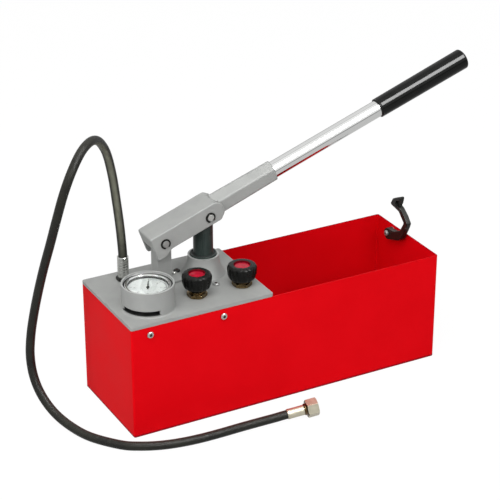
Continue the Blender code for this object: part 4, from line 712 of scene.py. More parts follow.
# Painted shade: a dark maroon laid on the top faces of the rim's back and right sides.
FAR_RIM_SHADE = Finish("shaded_red_edge", "red_paint", (0.28, 0.001, 0.016), (0.34, 0.0015, 0.02),
                  roughness=0.45, spread=0.05, specular=0.03, mottle=60.0)
CASTING = Finish("blasted_casting", "grey_casting", (0.300, 0.306, 0.298), (0.330, 0.336, 0.326),
                 roughness=0.52, spread=0.05, metallic=0.10, specular=0.18, mottle=45.0,
                 grain=1500.0, pits=0.6, depth=0.00005, wear_and_glint=0.40, worn_glint_and_shade=(0.52, 0.52, 0.51),
                 dust=0.05)
MACHINED = Finish("machined_land", "grey_casting", (0.47, 0.48, 0.47), (0.41, 0.42, 0.41),
                  roughness=0.45, spread=0.05, metallic=0.4, mottle=120.0, grain=1500.0)
# Painted shade: near black laid on the gauge guard's inner wall, where the narrow gap round the
# bezel is in shade.
GUARD_WALL_SHADE = Finish("guard_wall_painted_shade", "grey_casting", (0.030, 0.032, 0.031),
                   (0.060, 0.062, 0.060), roughness=0.6, specular=0.2, mottle=90.0, grain=1500.0,
                   depth=0.00004)
BARE_CASTING = Finish("bare_casting_metal", "bare_casting", (0.47, 0.48, 0.47), (0.40, 0.41, 0.40),
                      roughness=0.45, metallic=0.5, mottle=60.0, grain=1500.0, depth=0.00005,
                      wear_and_glint=0.4, worn_glint_and_shade=(0.7, 0.7, 0.7))
CHROME = Finish("bright_chrome", "chrome", (0.80, 0.81, 0.80), (0.84, 0.84, 0.83), roughness=0.10,
                spread=0.03, metallic=1.0, mottle=35.0, grain=400.0, pits=0.1, depth=0.000004,
                streaks=0.3, along=40.0, across=3000.0)
STEEL = Finish("bright_zinc_steel", "bright_steel", (0.56, 0.57, 0.55), (0.64, 0.64, 0.61),
               roughness=0.26, metallic=1.0, mottle=140.0, grain=1800.0, pits=0.2, depth=0.000015,
               wear_and_glint=0.5, worn_glint_and_shade=(0.80, 0.80, 0.79))
# Its light rounds are partly rubbed edges and partly painted highlights.
DARK_STEEL = Finish("blackened_steel", "dark_steel", (0.0065, 0.007, 0.006), (0.012, 0.013, 0.011),
                    roughness=0.36, specular=0.22, mottle=110.0, grain=1400.0, depth=0.00003,
                    wear_and_glint=0.55, worn_glint_and_shade=(0.15, 0.15, 0.130), dust=0.05)
PIN_STEEL = Finish("dull_pin_steel", "bright_steel", (0.30, 0.31, 0.30), (0.38, 0.38, 0.37),
                   roughness=0.42, metallic=0.6, mottle=220.0, grain=1800.0, pits=0.2, wear_and_glint=0.4,
                   worn_glint_and_shade=(0.6, 0.6, 0.59))
# Painted shade: a dark brown laid into the screws' hexagonal sockets.
SOCKET_SHADE = Finish("socket_painted_shade", "dark_steel", (0.045, 0.030, 0.026), (0.09, 0.06, 0.05),
                     roughness=0.5, specular=0.2, mottle=300.0, grain=2000.0)
PISTON_GREY = Finish("hard_coated_piston", "piston_grey", (0.026, 0.037, 0.034),
                     (0.036, 0.048, 0.044), roughness=0.30, spread=0.05, metallic=0.05,
                     specular=0.22, mottle=40.0, grain=2200.0, pits=0.1, depth=0.000006,
                     streaks=0.6, along=2600.0, across=60.0, wear_and_glint=0.3, worn_glint_and_shade=(0.20, 0.22, 0.21))
BLACK_PLASTIC = Finish("moulded_black_plastic", "black_plastic", (0.0035, 0.0038, 0.0035),
                       (0.006, 0.006, 0.005), roughness=0.26, spread=0.04, specular=0.15,
                       mottle=90.0, grain=2600.0, depth=0.00001, wear_and_glint=0.35,
                       worn_glint_and_shade=(0.030, 0.030, 0.027), dust=0.02)
GRIP_PLASTIC = Finish("glossy_grip_plastic", "black_plastic", (0.0030, 0.0034, 0.0032),
                      (0.0050, 0.0052, 0.0048), roughness=0.13, spread=0.02, specular=0.20,
                      mottle=90.0, grain=2600.0, pits=0.1, depth=0.0000015, wear_and_glint=0.3,
                      worn_glint_and_shade=(0.030, 0.030, 0.027), dust=0.01)
RED_PLASTIC = Finish("glossy_red_plastic", "red_plastic", (0.36, 0.003, 0.020),
                     (0.42, 0.005, 0.026), roughness=0.16, spread=0.04, specular=0.16,
                     mottle=120.0, grain=800.0, pits=0.1, depth=0.000008, dust=0.02)
# Painted reflection and shade: the black knob's recess wall takes a dark red, for the red disc
# mirrored in it and the shade in the recess.
RECESS_REFLECTION_SHADE = Finish("recess_painted_red_shade", "red_plastic", (0.11, 0.0015, 0.006), (0.15, 0.002, 0.008),
                  roughness=0.35, spread=0.04, specular=0.10, mottle=120.0, grain=800.0,
                  depth=0.00001)
RUBBER = Finish("seal_rubber", "black_rubber", (0.012, 0.013, 0.013), (0.018, 0.019, 0.018),
                roughness=0.55, spread=0.08, specular=0.3, mottle=200.0, grain=2500.0)
HOSE_RUBBER = HoseRubber("hose_cover", "black_rubber", (0.0085, 0.0085, 0.0075),
                         (0.015, 0.015, 0.011), roughness=0.30, spread=0.05, specular=0.24,
                         mottle=40.0, grain=2600.0, dust=0.06)
# Its dark mottle and its bright rounds are partly aged and rubbed brass, partly painted dark
# reflections and glints.
BRASS = Finish("aged_brass", "brass", (0.30, 0.21, 0.10), (0.045, 0.03, 0.014), roughness=0.20,
               metallic=1.0, mottle=330.0, grain=1500.0, wear_and_glint=1.0, worn_glint_and_shade=(0.85, 0.70, 0.38))
NICKEL = Finish("nickel_plate", "nickel", (0.60, 0.56, 0.43), (0.68, 0.635, 0.50), roughness=0.32,
                spread=0.04, metallic=0.85, specular=0.4, mottle=130.0, grain=1500.0, pits=0.2,
                depth=0.000005, wear_and_glint=0.3, worn_glint_and_shade=(0.74, 0.60, 0.40))
# A dark brass-brown: the nipple's own tone, and painted shade on the union nut's back faces.
NICKEL_STAINED_AND_SHADED = Finish("stained_and_shaded_nickel", "nickel", (0.20, 0.125, 0.06), (0.10, 0.07, 0.03),
                        roughness=0.30, spread=0.08, metallic=1.0, mottle=420.0, grain=1500.0,
                        wear_and_glint=0.6, worn_glint_and_shade=(0.70, 0.50, 0.36))
DIAL_CARD = Finish("dial_card", "dial_white", (0.60, 0.62, 0.61), (0.66, 0.67, 0.66),
                   roughness=0.45, spread=0.04, specular=0.3, mottle=200.0, grain=3000.0,
                   depth=0.00001)
DIAL_INK = Finish("dial_ink", "black_plastic", (0.10, 0.105, 0.105), (0.16, 0.165, 0.165),
                  roughness=0.5, spread=0.05, specular=0.3, mottle=900.0, grain=4000.0,
                  depth=0.000005)
CLEAR_GLASS = Glass("clear_glass_disc", "clear_glass", (0.93, 0.95, 0.94), (0.97, 0.98, 0.97),
                    roughness=0.02, spread=0.02, mottle=60.0)


def marked(bm: Shape, choice: Callable[[Face], int]) -> Shape:
    """Mark the faces that take a piece's further finishes, before the shape is moved.

    Args:
        bm: The shape.
        choice: Gives a face's finish: 0 is the main one, 1 the first of the others.

    Returns:
        The same shape.
    """
    bm.normal_update()
    for face in bm.faces:
        face.material_index = int(choice(face))
    return bm


def fitted(bm: Shape, name: str, finish: Finish, *nodes: str,
           others: Sequence[Finish] = (), body: str = "",
           place: Matrix | None = None) -> bpy.types.Object:
    """Put a shape into the pump as a piece that stands for its solids.

    Args:
        bm: The shape, at its place unless a place is given.
        name: The piece's name.
        finish: Its coat or metal.
        *nodes: The solids that it replaces.
        others: The finishes of its marked faces.
        body: The body that it rides on, where it replaces no solid.
        place: Where the shape goes.

    Returns:
        The piece.
    """
    if place:
        bm.transform(place)
    piece = as_object(bm, name)
    piece.data.shade_smooth()
    piece.data.set_sharp_from_angle(angle=SHARP_ANGLE)
    for coat in (finish, *others):
        piece.data.materials.append(coat.material())
    even = piece.modifiers.new("even_shading", "WEIGHTED_NORMAL")
    even.keep_sharp = True
    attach(piece, body or FRAME["nodes"][nodes[0]]["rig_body"])
    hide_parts(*nodes)
    LOG.info("%s: %d faces", name, len(piece.data.polygons))
    return piece


# The set
def rays(web: Web) -> tuple[Socket, Socket]:
    """Tell rays from mirroring faces, and rays from the eye or through glass."""
    path = web.add("LightPath").outputs
    seen = web.sum("MAXIMUM", path["Is Camera Ray"], path["Is Transmission Ray"])
    return path["Is Glossy Ray"], seen


@dataclass
class Studio:
    """The camera, the floor, the backdrop and the soft lamps."""

    eye: Point = (-1.16644, -2.11993, 1.37964)
    gaze: Point = (0.42747, 0.79148, -0.43684)
    lens: float = 131.04
    sensor: float = 36.0
    sky: float = 0.52
    floor_size: float = 12.0
    floor_grey: float = 0.45
    floor_roughness: float = 0.9
    floor_seen: float = 1.07
    floor_mirrored: float = 0.62
    floor_glow: float = 0.90
    back_bands: tuple[Flat, ...] = ((0.0, 1.0), (0.60, 1.0), (0.64, 0.42), (0.69, 0.86),
                                    (1.0, 0.75))
    rise_bands: tuple[Flat, ...] = ((0.0, 0.7), (0.46, 0.28), (0.54, 0.32), (0.60, 1.0),
                                    (1.0, 1.0))
    lamps: tuple[tuple[str, Point, float, float, float], ...] = (
        ("soft_box", (0.485, -1.490, 2.250), 0.73, 1.3, 80.0),
        ("key_lamp", (-0.9, -1.0, 2.4), 1.4, 1.4, 40.0),
        ("front_lamp", (0.3, -2.4, 1.9), 1.2, 1.2, 26.0),
        ("left_lamp", (-2.4, -0.7, 1.2), 1.2, 1.2, 22.0),
    )
    gleam: str = "soft_box"
    aim: Point = (0.0, 0.0, 0.15)

    def build(self) -> None:
        """Make the whole set."""
        self.camera()
        self.floor()
        self.backdrop()
        for lamp in self.lamps:
            self.lamp(*lamp)
        bpy.context.scene.view_settings.view_transform = "Standard"

    def camera(self) -> None:
        """Stand the camera where the photograph was taken from."""
        data = bpy.data.cameras.new("camera")
        data.lens = self.lens
        data.sensor_width = self.sensor
        camera = bpy.data.objects.new("camera", data)
        bpy.context.scene.collection.objects.link(camera)
        camera.location = self.eye
        camera.rotation_mode = "QUATERNION"
        camera.rotation_quaternion = Vector(self.gaze).to_track_quat("-Z", "Y")
        bpy.context.scene.camera = camera

    def floor(self) -> None:
        """Lay the white floor, which keeps a faint shadow."""
        bm = bmesh.new()
        bmesh.ops.create_grid(bm, x_segments=1, y_segments=1, size=self.floor_size / 2)
        floor = as_object(bm, "floor")
        material = bpy.data.materials.new("studio_floor")
        material.use_nodes = True
        web = Web(material.node_tree)
        shader = web.tree.nodes["Principled BSDF"]
        grey = self.floor_grey
        shader.inputs["Base Color"].default_value = (grey, grey, grey, 1)
        shader.inputs["Roughness"].default_value = self.floor_roughness
        shader.inputs["Specular IOR Level"].default_value = 0.0
        mirrored, seen = rays(web)
        strength = web.span(mirrored, 0.0, 1.0, self.floor_seen, self.floor_mirrored)
        glow = web.add("Emission", {"Color": (1, 1, 1, 1), "Strength": strength})
        share = web.sum("MULTIPLY", web.sum("MAXIMUM", seen, mirrored), self.floor_glow)
        mix = web.add("MixShader", {0: share, 1: shader.outputs[0], 2: glow.outputs[0]})
        web.tree.links.new(mix.outputs[0], web.tree.nodes["Material Output"].inputs["Surface"])
        floor.data.materials.append(material)

    def backdrop(self) -> None:
        """Light the pump evenly, and show white to the eye and soft bands to metal."""
        world = bpy.data.worlds.new("studio")
        bpy.context.scene.world = world
        world.use_nodes = True
        web = Web(world.node_tree)
        light = web.tree.nodes["Background"]
        light.inputs["Color"].default_value = (1, 1, 1, 1)
        light.inputs["Strength"].default_value = self.sky
        white = web.add("Background", {"Color": (1, 1, 1, 1), "Strength": 1.0})
        way = web.add("SeparateXYZ", {0: web.add("TexCoord").outputs["Generated"]})
        back = self.bands(web, way.outputs["Y"], self.back_bands)
        rise = self.bands(web, way.outputs["Z"], self.rise_bands)
        shade = web.blend(1.0, back, rise, "MULTIPLY")
        mirror = web.add("Background", {"Color": shade, "Strength": 1.0})
        mirrored, seen = rays(web)
        first = web.add("MixShader", {0: mirrored, 1: light.outputs[0], 2: mirror.outputs[0]})
        last = web.add("MixShader", {0: seen, 1: first.outputs[0], 2: white.outputs[0]})
        web.tree.links.new(last.outputs[0], web.tree.nodes["World Output"].inputs["Surface"])

    def bands(self, web: Web, value: Socket, stops: Sequence[Flat]) -> Socket:
        """Give grey bands along a value from -1 to 1, each stop with its spot and level."""
        ramp = web.add("ValToRGB", {0: web.span(value, -1.0, 1.0, 0.0, 1.0)})
        elements = ramp.color_ramp.elements
        while len(elements) < len(stops):
            elements.new(0.5)
        for element, (spot, level) in zip(elements, stops):
            element.position = spot
            element.color = (level, level, level, 1)
        return ramp.outputs[0]

    def lamp(self, name: str, place: Point, length: float, width: float, power: float) -> None:
        """Hang one soft lamp that looks at the pump; one of them only shows as a gleam."""
        data = bpy.data.lights.new(name, "AREA")
        data.shape = "RECTANGLE"
        data.size = length
        data.size_y = width
        data.energy = power
        lamp = bpy.data.objects.new(name, data)
        bpy.context.scene.collection.objects.link(lamp)
        lamp.location = place
        lamp.rotation_mode = "QUATERNION"
        lamp.rotation_quaternion = (Vector(self.aim) - Vector(place)).to_track_quat("-Z", "Y")
        lamp.visible_glossy = name == self.gleam
        lamp.visible_diffuse = not lamp.visible_glossy


# The pump
@dataclass
class Tank:
    """The red sheet-metal water tank, open on top, with welded inner corners."""

    length: float = 0.510
    width: float = 0.170
    height: float = 0.1731
    wall: float = 0.0015
    corner: float = 0.003
    fold: float = 0.0016
    rim: float = 0.0004
    rim_slope: float = 0.3
    bead: float = 0.0016
    bead_inset: float = 0.0006
    bead_sides: int = 12
    ripple: float = 0.0024
    ripple_share: float = 0.10
    ripple_steps: int = 4

    def sheet(self) -> Shape:
        """Fold the sheet into the open box and drill it."""
        half_length, half_width = self.length / 2, self.width / 2
        bm = box((-half_length, half_length), (-half_width, half_width), (0, self.height))
        lid = [face for face in bm.faces if face.calc_center_median().z > self.height - MERGE]
        bmesh.ops.delete(bm, geom=lid, context="FACES_ONLY")
        rounded(bm, upright_edges(bm), self.corner, segments=6)
        low = [edge for edge in bm.edges
               if max(vert.co.z for vert in edge.verts) < MERGE and edge.is_manifold]
        piece = as_object(rounded(bm, low, self.fold, segments=4), "work")
        wall = piece.modifiers.new("wall", "SOLIDIFY")
        wall.thickness = self.wall
        wall.offset = -1
        wall.use_even_offset = True
        bm = taken_back(piece)
        through = self.wall * 3
        starts = [aimed((x, side * (half_width + self.wall), SCREW_HEIGHT), (0, -side, 0))
                  for x in PLATE_SCREWS.values() for side in (-1, 1)]
        starts.append(aimed((half_length + self.wall, *HOOK_SPOT), (-1, 0, 0)))
        holes = [(SCREW_HOLE, start, through) for start in starts]
        return softened(drilled(bm, holes), self.rim, segments=2, angle=60)

    def beads(self) -> list[Shape]:
        """Lay a rippled weld bead into each inner corner."""
        low, high = self.wall, self.height - 2 * self.wall
        count = round((high - low) / self.ripple * self.ripple_steps)
        heights = [low + (high - low) * step / count for step in range(count + 1)]
        swell = self.bead * self.ripple_share
        side = [(self.bead + swell * math.sin(math.tau * height / self.ripple), height)
                for height in heights]
        inset = self.wall + self.bead_inset
        x, y = self.length / 2 - inset, self.width / 2 - inset
        shapes = []
        for spot in ((-x, -y), (-x, y), (x, -y), (x, y)):
            bead = turned(side, self.bead_sides)
            bead.transform(stood(spot))
            shapes.append(bead)
        return shapes

    def build(self) -> None:
        """Make the tank."""
        # The top faces of the rim's back and right sides take painted shade.
        shell = marked(merged([self.sheet(), *self.beads()]), self.on_far_rim)
        fitted(shell, "tank_shell", RED_COAT, "tank", others=[FAR_RIM_SHADE])

    def on_far_rim(self, face: Face) -> bool:
        """Tell whether a face lies on the rim's back or right side, whose top takes painted shade.
        """
        spot = face.calc_center_median()
        far = spot.y > self.width / 2 - self.wall or spot.x > self.length / 2 - self.wall
        return far and face.normal.z > self.rim_slope and spot.z > self.height - self.wall


@dataclass
class CoverPlate:
    """The grey cast plate with the piston boss, the gauge guard and two ribs below."""

    x_range: Flat = (-0.255, -0.029)
    half_width: float = 0.085
    bottom: float = 0.1734
    corner: float = 0.003
    edge: float = 0.0007
    boss_height: float = 0.030
    boss_radius: float = 0.0232
    boss_flare: float = 0.0108
    flare_power: float = 2.4
    boss_rings: int = 22
    bore: float = 0.0203
    valve_hole: float = 0.0093
    stem_hole: float = 0.0063
    screw_depth: float = 0.013
    guard_inner: float = 0.0357
    guard_outer: float = 0.0382
    # Height up to which the guard's inner wall takes painted shade; the bore steps out there.
    guard_shade_top: float = 0.2132
    guard_step: float = 0.0003
    guard_height: float = 0.038
    guard_fillet: float = 0.0022
    slot_turn: float = -137.0
    slot_start: float = 0.0237
    slot_end: float = 0.0422
    slot_half: float = 0.045
    slot_heights: Flat = (0.1819, 0.1891)
    skirt_outer: float = 0.0832
    skirt_inner: float = 0.0772
    skirt_depth: float = 0.024
    skirt_inset: float = 0.006
    land_slope: float = 0.7

    def boss(self) -> Shape:
        """Turn the boss that flares out to the plate."""
        top = PLATE_TOP + self.boss_height
        low = PLATE_TOP - OVERRUN
        shares = [step / self.boss_rings for step in range(self.boss_rings + 1)]
        side = [(self.boss_radius + self.boss_flare * share ** self.flare_power,
                 top + (low - top) * share) for share in shares]
        bm = turned(side, steps=96)
        bm.transform(stood(PISTON_SPOT))
        return bm

    def guard(self) -> Shape:
        """Turn the guard with a small fillet at its foot."""
        top = PLATE_TOP + self.guard_height
        size, foot = self.guard_fillet, self.guard_outer + self.guard_fillet
        fillet = arc((foot, PLATE_TOP + size), (size, size), 180, 270, 6)
        low = PLATE_TOP - OVERRUN
        inner = self.guard_inner + self.guard_step
        bm = turned([(inner, top), (self.guard_outer, top), *fillet, (foot, low),
                     (self.guard_inner, low), (self.guard_inner, self.guard_shade_top),
                     (inner, self.guard_shade_top + self.guard_step)], steps=120, closed=True)
        bm.transform(stood(GAUGE_SPOT))
        return bm

    def holes(self) -> list[tuple[float, Matrix, float]]:
        """List the holes for valves, stems and screws: radius, start and depth."""
        spots = [(self.valve_hole, valve.value[1]) for valve in ValvePlace]
        spots += [(self.stem_hole, spot) for spot in (GAUGE_SPOT, HOSE_SPOT)]
        spots += [(SCREW_HOLE, spot) for spot in BODY_SCREWS.values()]
        spots += [(SMALL_SCREW_HOLE, spot) for spot in POST_SCREWS.values()]
        through = PLATE_TOP - self.bottom + 2 * OVERRUN
        holes = [(radius, stood(spot, self.bottom - OVERRUN), through) for radius, spot in spots]
        for x in PLATE_SCREWS.values():
            holes += [(SCREW_HOLE, aimed((x, side * PLATE_FACE, SCREW_HEIGHT), (0, -side, 0)),
                       self.screw_depth) for side in (-1, 1)]
        return holes

    def build(self) -> None:
        """Make the plate."""
        bm = box(self.x_range, (-self.half_width, self.half_width), (self.bottom, PLATE_TOP),
                 self.corner)
        ends = (self.x_range[0] + self.skirt_inset, self.x_range[1] - self.skirt_inset)
        for side in (-1, 1):
            faces = tuple(sorted((side * self.skirt_outer, side * self.skirt_inner)))
            skirt = box(ends, faces, (self.bottom - self.skirt_depth, self.bottom + OVERRUN))
            bm = worked(bm, skirt, Join.ADD)
        bm = worked(bm, self.boss(), Join.ADD)
        bm = worked(bm, self.guard(), Join.ADD)
        slot = box((self.slot_start, self.slot_end), (-self.slot_half, self.slot_half),
                   self.slot_heights)
        slot.transform(stood(GAUGE_SPOT, 0, self.slot_turn))
        bm = drilled(worked(bm, slot, Join.CUT), self.holes())
        bore = rod(self.bore, self.bottom - OVERRUN, PLATE_TOP + self.boss_height + OVERRUN,
                   steps=96)
        bore.transform(stood(PISTON_SPOT))
        bm = worked(bm, bore, Join.CUT)
        softened(bm, self.edge, angle=50)
        fitted(marked(bm, self.finish_of), "cover_casting", CASTING, "cover_plate",
               others=[MACHINED, GUARD_WALL_SHADE])

    def finish_of(self, face: Face) -> int:
        """Choose a face's finish: the tops of boss and guard are bare, and the guard's inner wall
        below its step takes painted shade.
        """
        spot = face.calc_center_median()
        if spot.z > PLATE_TOP + self.boss_height / 2 and face.normal.z > self.land_slope:
            return 1
        inside = (spot.xy - Vector(GAUGE_SPOT)).length < self.guard_inner + self.guard_step
        return 2 if inside and PLATE_TOP - self.edge < spot.z < self.guard_shade_top else 0


@dataclass
class SocketScrew:
    """A domed screw with a hexagonal socket; its shank runs along its own Z axis."""

    head: float = 0.0052
    height: float = 0.0028
    shank: float = 0.003
    length: float = 0.011
    socket: float = 0.0042
    depth: float = 0.0018
    edge: float = 0.00018
    dome_steps: int = 8
    flat_share: float = 0.64
    side_share: float = 0.25
    inside_share: float = 0.56

    def shape(self) -> Shape:
        """Make the screw with the seat of its head at the origin."""
        flat = self.socket * self.flat_share
        side = self.height * self.side_share
        dome = arc((flat, -side), (self.head - flat, self.height - side), -90, 0,
                   self.dome_steps)
        bm = turned([*dome, (self.head, 0), (self.shank, 0), (self.shank, self.length)], steps=40)
        socket = hexagon(self.socket, -self.height - OVERRUN, -self.height + self.depth)
        bm = softened(worked(bm, socket, Join.CUT), self.edge, segments=2)
        inside, top = self.socket * self.inside_share, -self.height + GAP

        def sunk(face: Face) -> bool:
            """Say whether a face lies in the socket, which takes painted shade."""
            spot = face.calc_center_median()
            return spot.xy.length < inside and top < spot.z < 0

        return marked(bm, sunk)


@dataclass
class Fastenings:
    """The screws of the plate, the pump body and the post."""

    plate: SocketScrew = field(default_factory=SocketScrew)
    body: SocketScrew = field(default_factory=lambda: SocketScrew(length=0.018))
    post: SocketScrew = field(default_factory=lambda: SocketScrew(
        head=0.003, shank=0.002, length=0.010, socket=0.0022, depth=0.0013))
    hook: SocketScrew = field(default_factory=lambda: SocketScrew(
        head=0.0045, height=0.0035, length=0.0173, socket=0.0034))
    post_seat: float = 0.182
    hook_seat: float = 0.2430
    down: Point = (0, 0, -1)

    def screw(self, kind: SocketScrew, place: Matrix, node: str, finish: Finish) -> None:
        """Make one screw and fit it for its solid."""
        fitted(kind.shape(), node + "_head", finish, node, others=[SOCKET_SHADE], place=place)

    def build(self) -> None:
        """Make every screw."""
        for end, x in PLATE_SCREWS.items():
            for name, side in (("front", -1), ("back", 1)):
                place = aimed((x, side * PLATE_FACE, SCREW_HEIGHT), (0, -side, 0))
                self.screw(self.plate, place, f"plate_screw_{name}_{end}", STEEL)
        for end, finish in (("left", DARK_STEEL), ("right", PIN_STEEL)):
            place = aimed((*BODY_SCREWS[end], SEAT), self.down)
            self.screw(self.body, place, f"body_screw_{end}", finish)
        for name, spot in POST_SCREWS.items():
            place = aimed((*spot, self.post_seat), self.down)
            self.screw(self.post, place, f"post_screw_{name}", STEEL)
        self.screw(self.hook, aimed((self.hook_seat, *HOOK_SPOT), (1, 0, 0)), "hook_screw",
                   PIN_STEEL)


@dataclass
class Piston:
    """The piston with its slotted eye, the guide collar and the wiper."""

    radius: float = 0.01475
    foot: float = 0.1218
    top: float = 0.2638
    spigot: float = 0.008
    spigot_length: float = 0.012
    eye_x: Flat = (-0.1022, -0.0714)
    eye_z: Flat = (0.26413, 0.28343)
    eye_thickness: float = 0.022
    eye_top_corner: float = 0.009
    eye_low_corner: float = 0.0016
    slot_x: Flat = (-0.09892, -0.0747)
    slot_z: Flat = (0.26813, 0.28013)
    slot_corner: float = 0.005
    edge: float = 0.0008
    eye_edge: float = 0.0009
    collar_edge: float = 0.0006
    collar: float = 0.0196
    bore: float = 0.01505
    collar_z: Flat = (0.1996, 0.2106)
    wiper: float = 0.0172
    wiper_z: float = 0.2071
    wiper_lip: Flat = (0.0008, 0.0004)
    wiper_slope: float = 0.0009

    def rod(self) -> Shape:
        """Turn the piston."""
        seat = self.foot + self.spigot_length
        return turned([(self.radius, self.top), (self.radius, seat), (self.spigot, seat),
                       (self.spigot, self.foot)], steps=72)

    def eye(self) -> Shape:
        """Shape the eye flat in the XY plane and cut its slot."""
        half = self.eye_thickness / 2
        bm = box(self.eye_x, self.eye_z, (-half, half))
        for level, radius, segments in ((self.eye_z[1], self.eye_top_corner, 10),
                                        (self.eye_z[0], self.eye_low_corner, 4)):
            corners = [edge for edge in upright_edges(bm)
                       if abs(edge.verts[0].co.y - level) < MERGE]
            rounded(bm, corners, radius, segments)
        slot = box(self.slot_x, self.slot_z, (-half - OVERRUN, half + OVERRUN))
        rounded(slot, upright_edges(slot), self.slot_corner, segments=8)
        return softened(worked(bm, slot, Join.CUT), self.eye_edge, angle=50)

    def build(self) -> None:
        """Make the piston and what it slides in."""
        axis = stood(PISTON_SPOT)
        fitted(softened(self.rod(), self.edge), "piston_rod", PISTON_GREY, "piston", place=axis)
        fitted(self.eye(), "piston_eye_block", PISTON_GREY, "piston_eye",
               place=Matrix.Translation((0, PISTON_SPOT[1], 0)) @ STAND_UP)
        low, high = self.collar_z
        inner = self.wiper + GAP
        groove = self.wiper_z - GAP
        collar = turned([(inner, high), (self.collar, high), (self.collar, low),
                         (self.bore, low), (self.bore, groove), (inner, groove)],
                        steps=72, closed=True)
        fitted(softened(collar, self.collar_edge), "guide_collar_ring", PISTON_GREY,
               "guide_collar", place=axis)
        lip, drop = self.wiper_lip
        wiper = turned([(self.bore, high), (self.bore + lip, high - drop),
                        (self.wiper, high - self.wiper_slope), (self.wiper, self.wiper_z),
                        (self.bore + lip, self.wiper_z)], steps=72, closed=True)
        fitted(wiper, "piston_wiper_lip", RUBBER, "piston_wiper", place=axis)


@dataclass
class Lever:
    """The cast head over the post and the piston, its pins, the tube and the grip."""

    width: float = 0.043
    outline: tuple[Flat, ...] = (
        (-0.019, -0.021), (-0.006, -0.021), (0.006, -0.0135), (0.0925, -0.0135),
        (0.1015, -0.0045), (0.1015, 0.009), (0.0925, 0.018), (-0.019, 0.018),
    )
    corner: float = 0.0030
    edge: float = 0.0018
    channel: tuple[Flat, ...] = (
        (-0.021, -0.023), (0.0988, -0.023), (0.0988, 0.013), (-0.014, 0.013),
        (-0.014, -0.001), (-0.021, -0.001),
    )
    channel_width: float = 0.030
    pin_spacing: float = 0.077
    pin_radius: float = 0.005
    pin_proud: float = 0.0008
    clip_radius: float = 0.0078
    clip_thickness: float = 0.0012
    clip_opening: float = 46.0
    socket_range: Flat = (0.092, 0.198)
    socket_half_width: float = 0.0175
    socket_half_height: float = 0.0168
    socket_ridge: float = 0.0055
    socket_taper: float = 0.93
    socket_edge: float = 0.0024
    offset: float = 0.002
    tube_radius: float = 0.0127
    tube_wall: float = 0.002
    tube_range: Flat = (0.1283, 0.5452)
    grip_start: float = 0.3885
    grip_length: float = 0.163
    grip_radius: float = 0.0150
    grip_end_radius: float = 0.0158
    grip_crown: float = 0.006
    grip_cap: float = 0.006
    grip_lip: tuple[Flat, ...] = ((0.0, 0.004), (0.0004, 0.0034), (0.0004, 0.0028),
                                  (0.0, 0.0022), (0.0, 0.0008), (0.0008, 0.0))
    bore_start: float = 0.128
    bore_depth: float = 0.072
    set_screw_start: Point = (0.168, 0, -0.018)
    set_screw_depth: float = 0.012
    hole_edge: float = 0.0005
    pin_edge: float = 0.0004
    clip_edge: float = 0.00025

    def bar(self, start: float = 0.0) -> Matrix:
        """Give the matrix that lays a turned shape along the tube from a place on it."""
        return LEVER_PLACE @ Matrix.Translation((start, 0, self.offset)) @ BAR_TURN

    def socket(self) -> Shape:
        """Shape the tapered six-sided socket."""
        low, high = self.socket_range
        bm = bmesh.new()
        bmesh.ops.create_cone(bm, cap_ends=True, segments=6, radius1=self.socket_half_width,
                              radius2=self.socket_half_width * self.socket_taper,
                              depth=high - low)
        flat = self.socket_half_width * math.cos(math.radians(30))
        bmesh.ops.scale(bm, vec=(1, self.socket_half_height / flat, 1), verts=bm.verts)
        ridges = [vert for vert in bm.verts if abs(vert.co.y) < MERGE]
        bmesh.ops.translate(bm, vec=(0, self.socket_ridge, 0), verts=ridges)
        bmesh.ops.translate(bm, vec=(0, 0, (low + high) / 2), verts=bm.verts)
        softened(bm, self.socket_edge, segments=4, angle=20)
        bm.transform(Matrix.Translation((0, 0, self.offset)) @ BAR_TURN)
        return bm

    def head(self) -> Shape:
        """Cast the head in the lever's own frame, and bore it."""
        bm = prism(self.outline, self.width, self.corner)
        softened(bm, self.edge, segments=4, angle=60)
        bm.transform(STAND_UP)
        bm = worked(bm, self.socket(), Join.ADD)
        channel = prism(self.channel, self.channel_width)
        channel.transform(STAND_UP)
        bm = worked(bm, channel, Join.CUT)
        side = self.width / 2 + 2 * OVERRUN
        holes = [(self.pin_radius + GAP, aimed((x, side, 0), (0, -1, 0)), 2 * side)
                 for x in (0, self.pin_spacing)]
        bore = Matrix.Translation((self.bore_start, 0, self.offset)) @ BAR_TURN
        holes.append((self.tube_radius + GAP, bore, self.bore_depth))
        holes.append((SCREW_HOLE, Matrix.Translation(self.set_screw_start),
                      self.set_screw_depth))
        return softened(drilled(bm, holes), self.hole_edge, segments=2, angle=50)

    def pin(self) -> Shape:
        """Turn a pin along Z, with its head at the start."""
        head = self.clip_thickness
        end = 2 * (head + self.width / 2 + GAP) + self.pin_proud
        bm = turned([(self.pin_radius, end), (self.pin_radius, head), (self.clip_radius, head),
                     (self.clip_radius, 0)], steps=48)
        return softened(bm, self.pin_edge)

    def clip(self) -> Shape:
        """Bend an open retaining ring whose gap looks up."""
        bm = ring((self.pin_radius + GAP, self.clip_radius), (0, self.clip_thickness), 48,
                  math.radians(360 - self.clip_opening))
        bm.transform(stood((0, 0), 0, self.clip_opening / 2 - 90))
        return softened(bm, self.clip_edge, segments=2)

    def grip(self) -> Shape:
        """Turn the grip: a sleeve that swells a little, with a lip and a crowned end."""
        end, bore = self.grip_length, self.tube_radius + GAP
        crown = arc((0, end - self.grip_crown), (self.grip_end_radius, self.grip_crown),
                    90, 0, 12)
        lip = [(self.grip_radius - inset, height) for inset, height in self.grip_lip]
        return turned([*crown, *lip, (bore, 0), (bore, end - self.grip_cap)], steps=72)

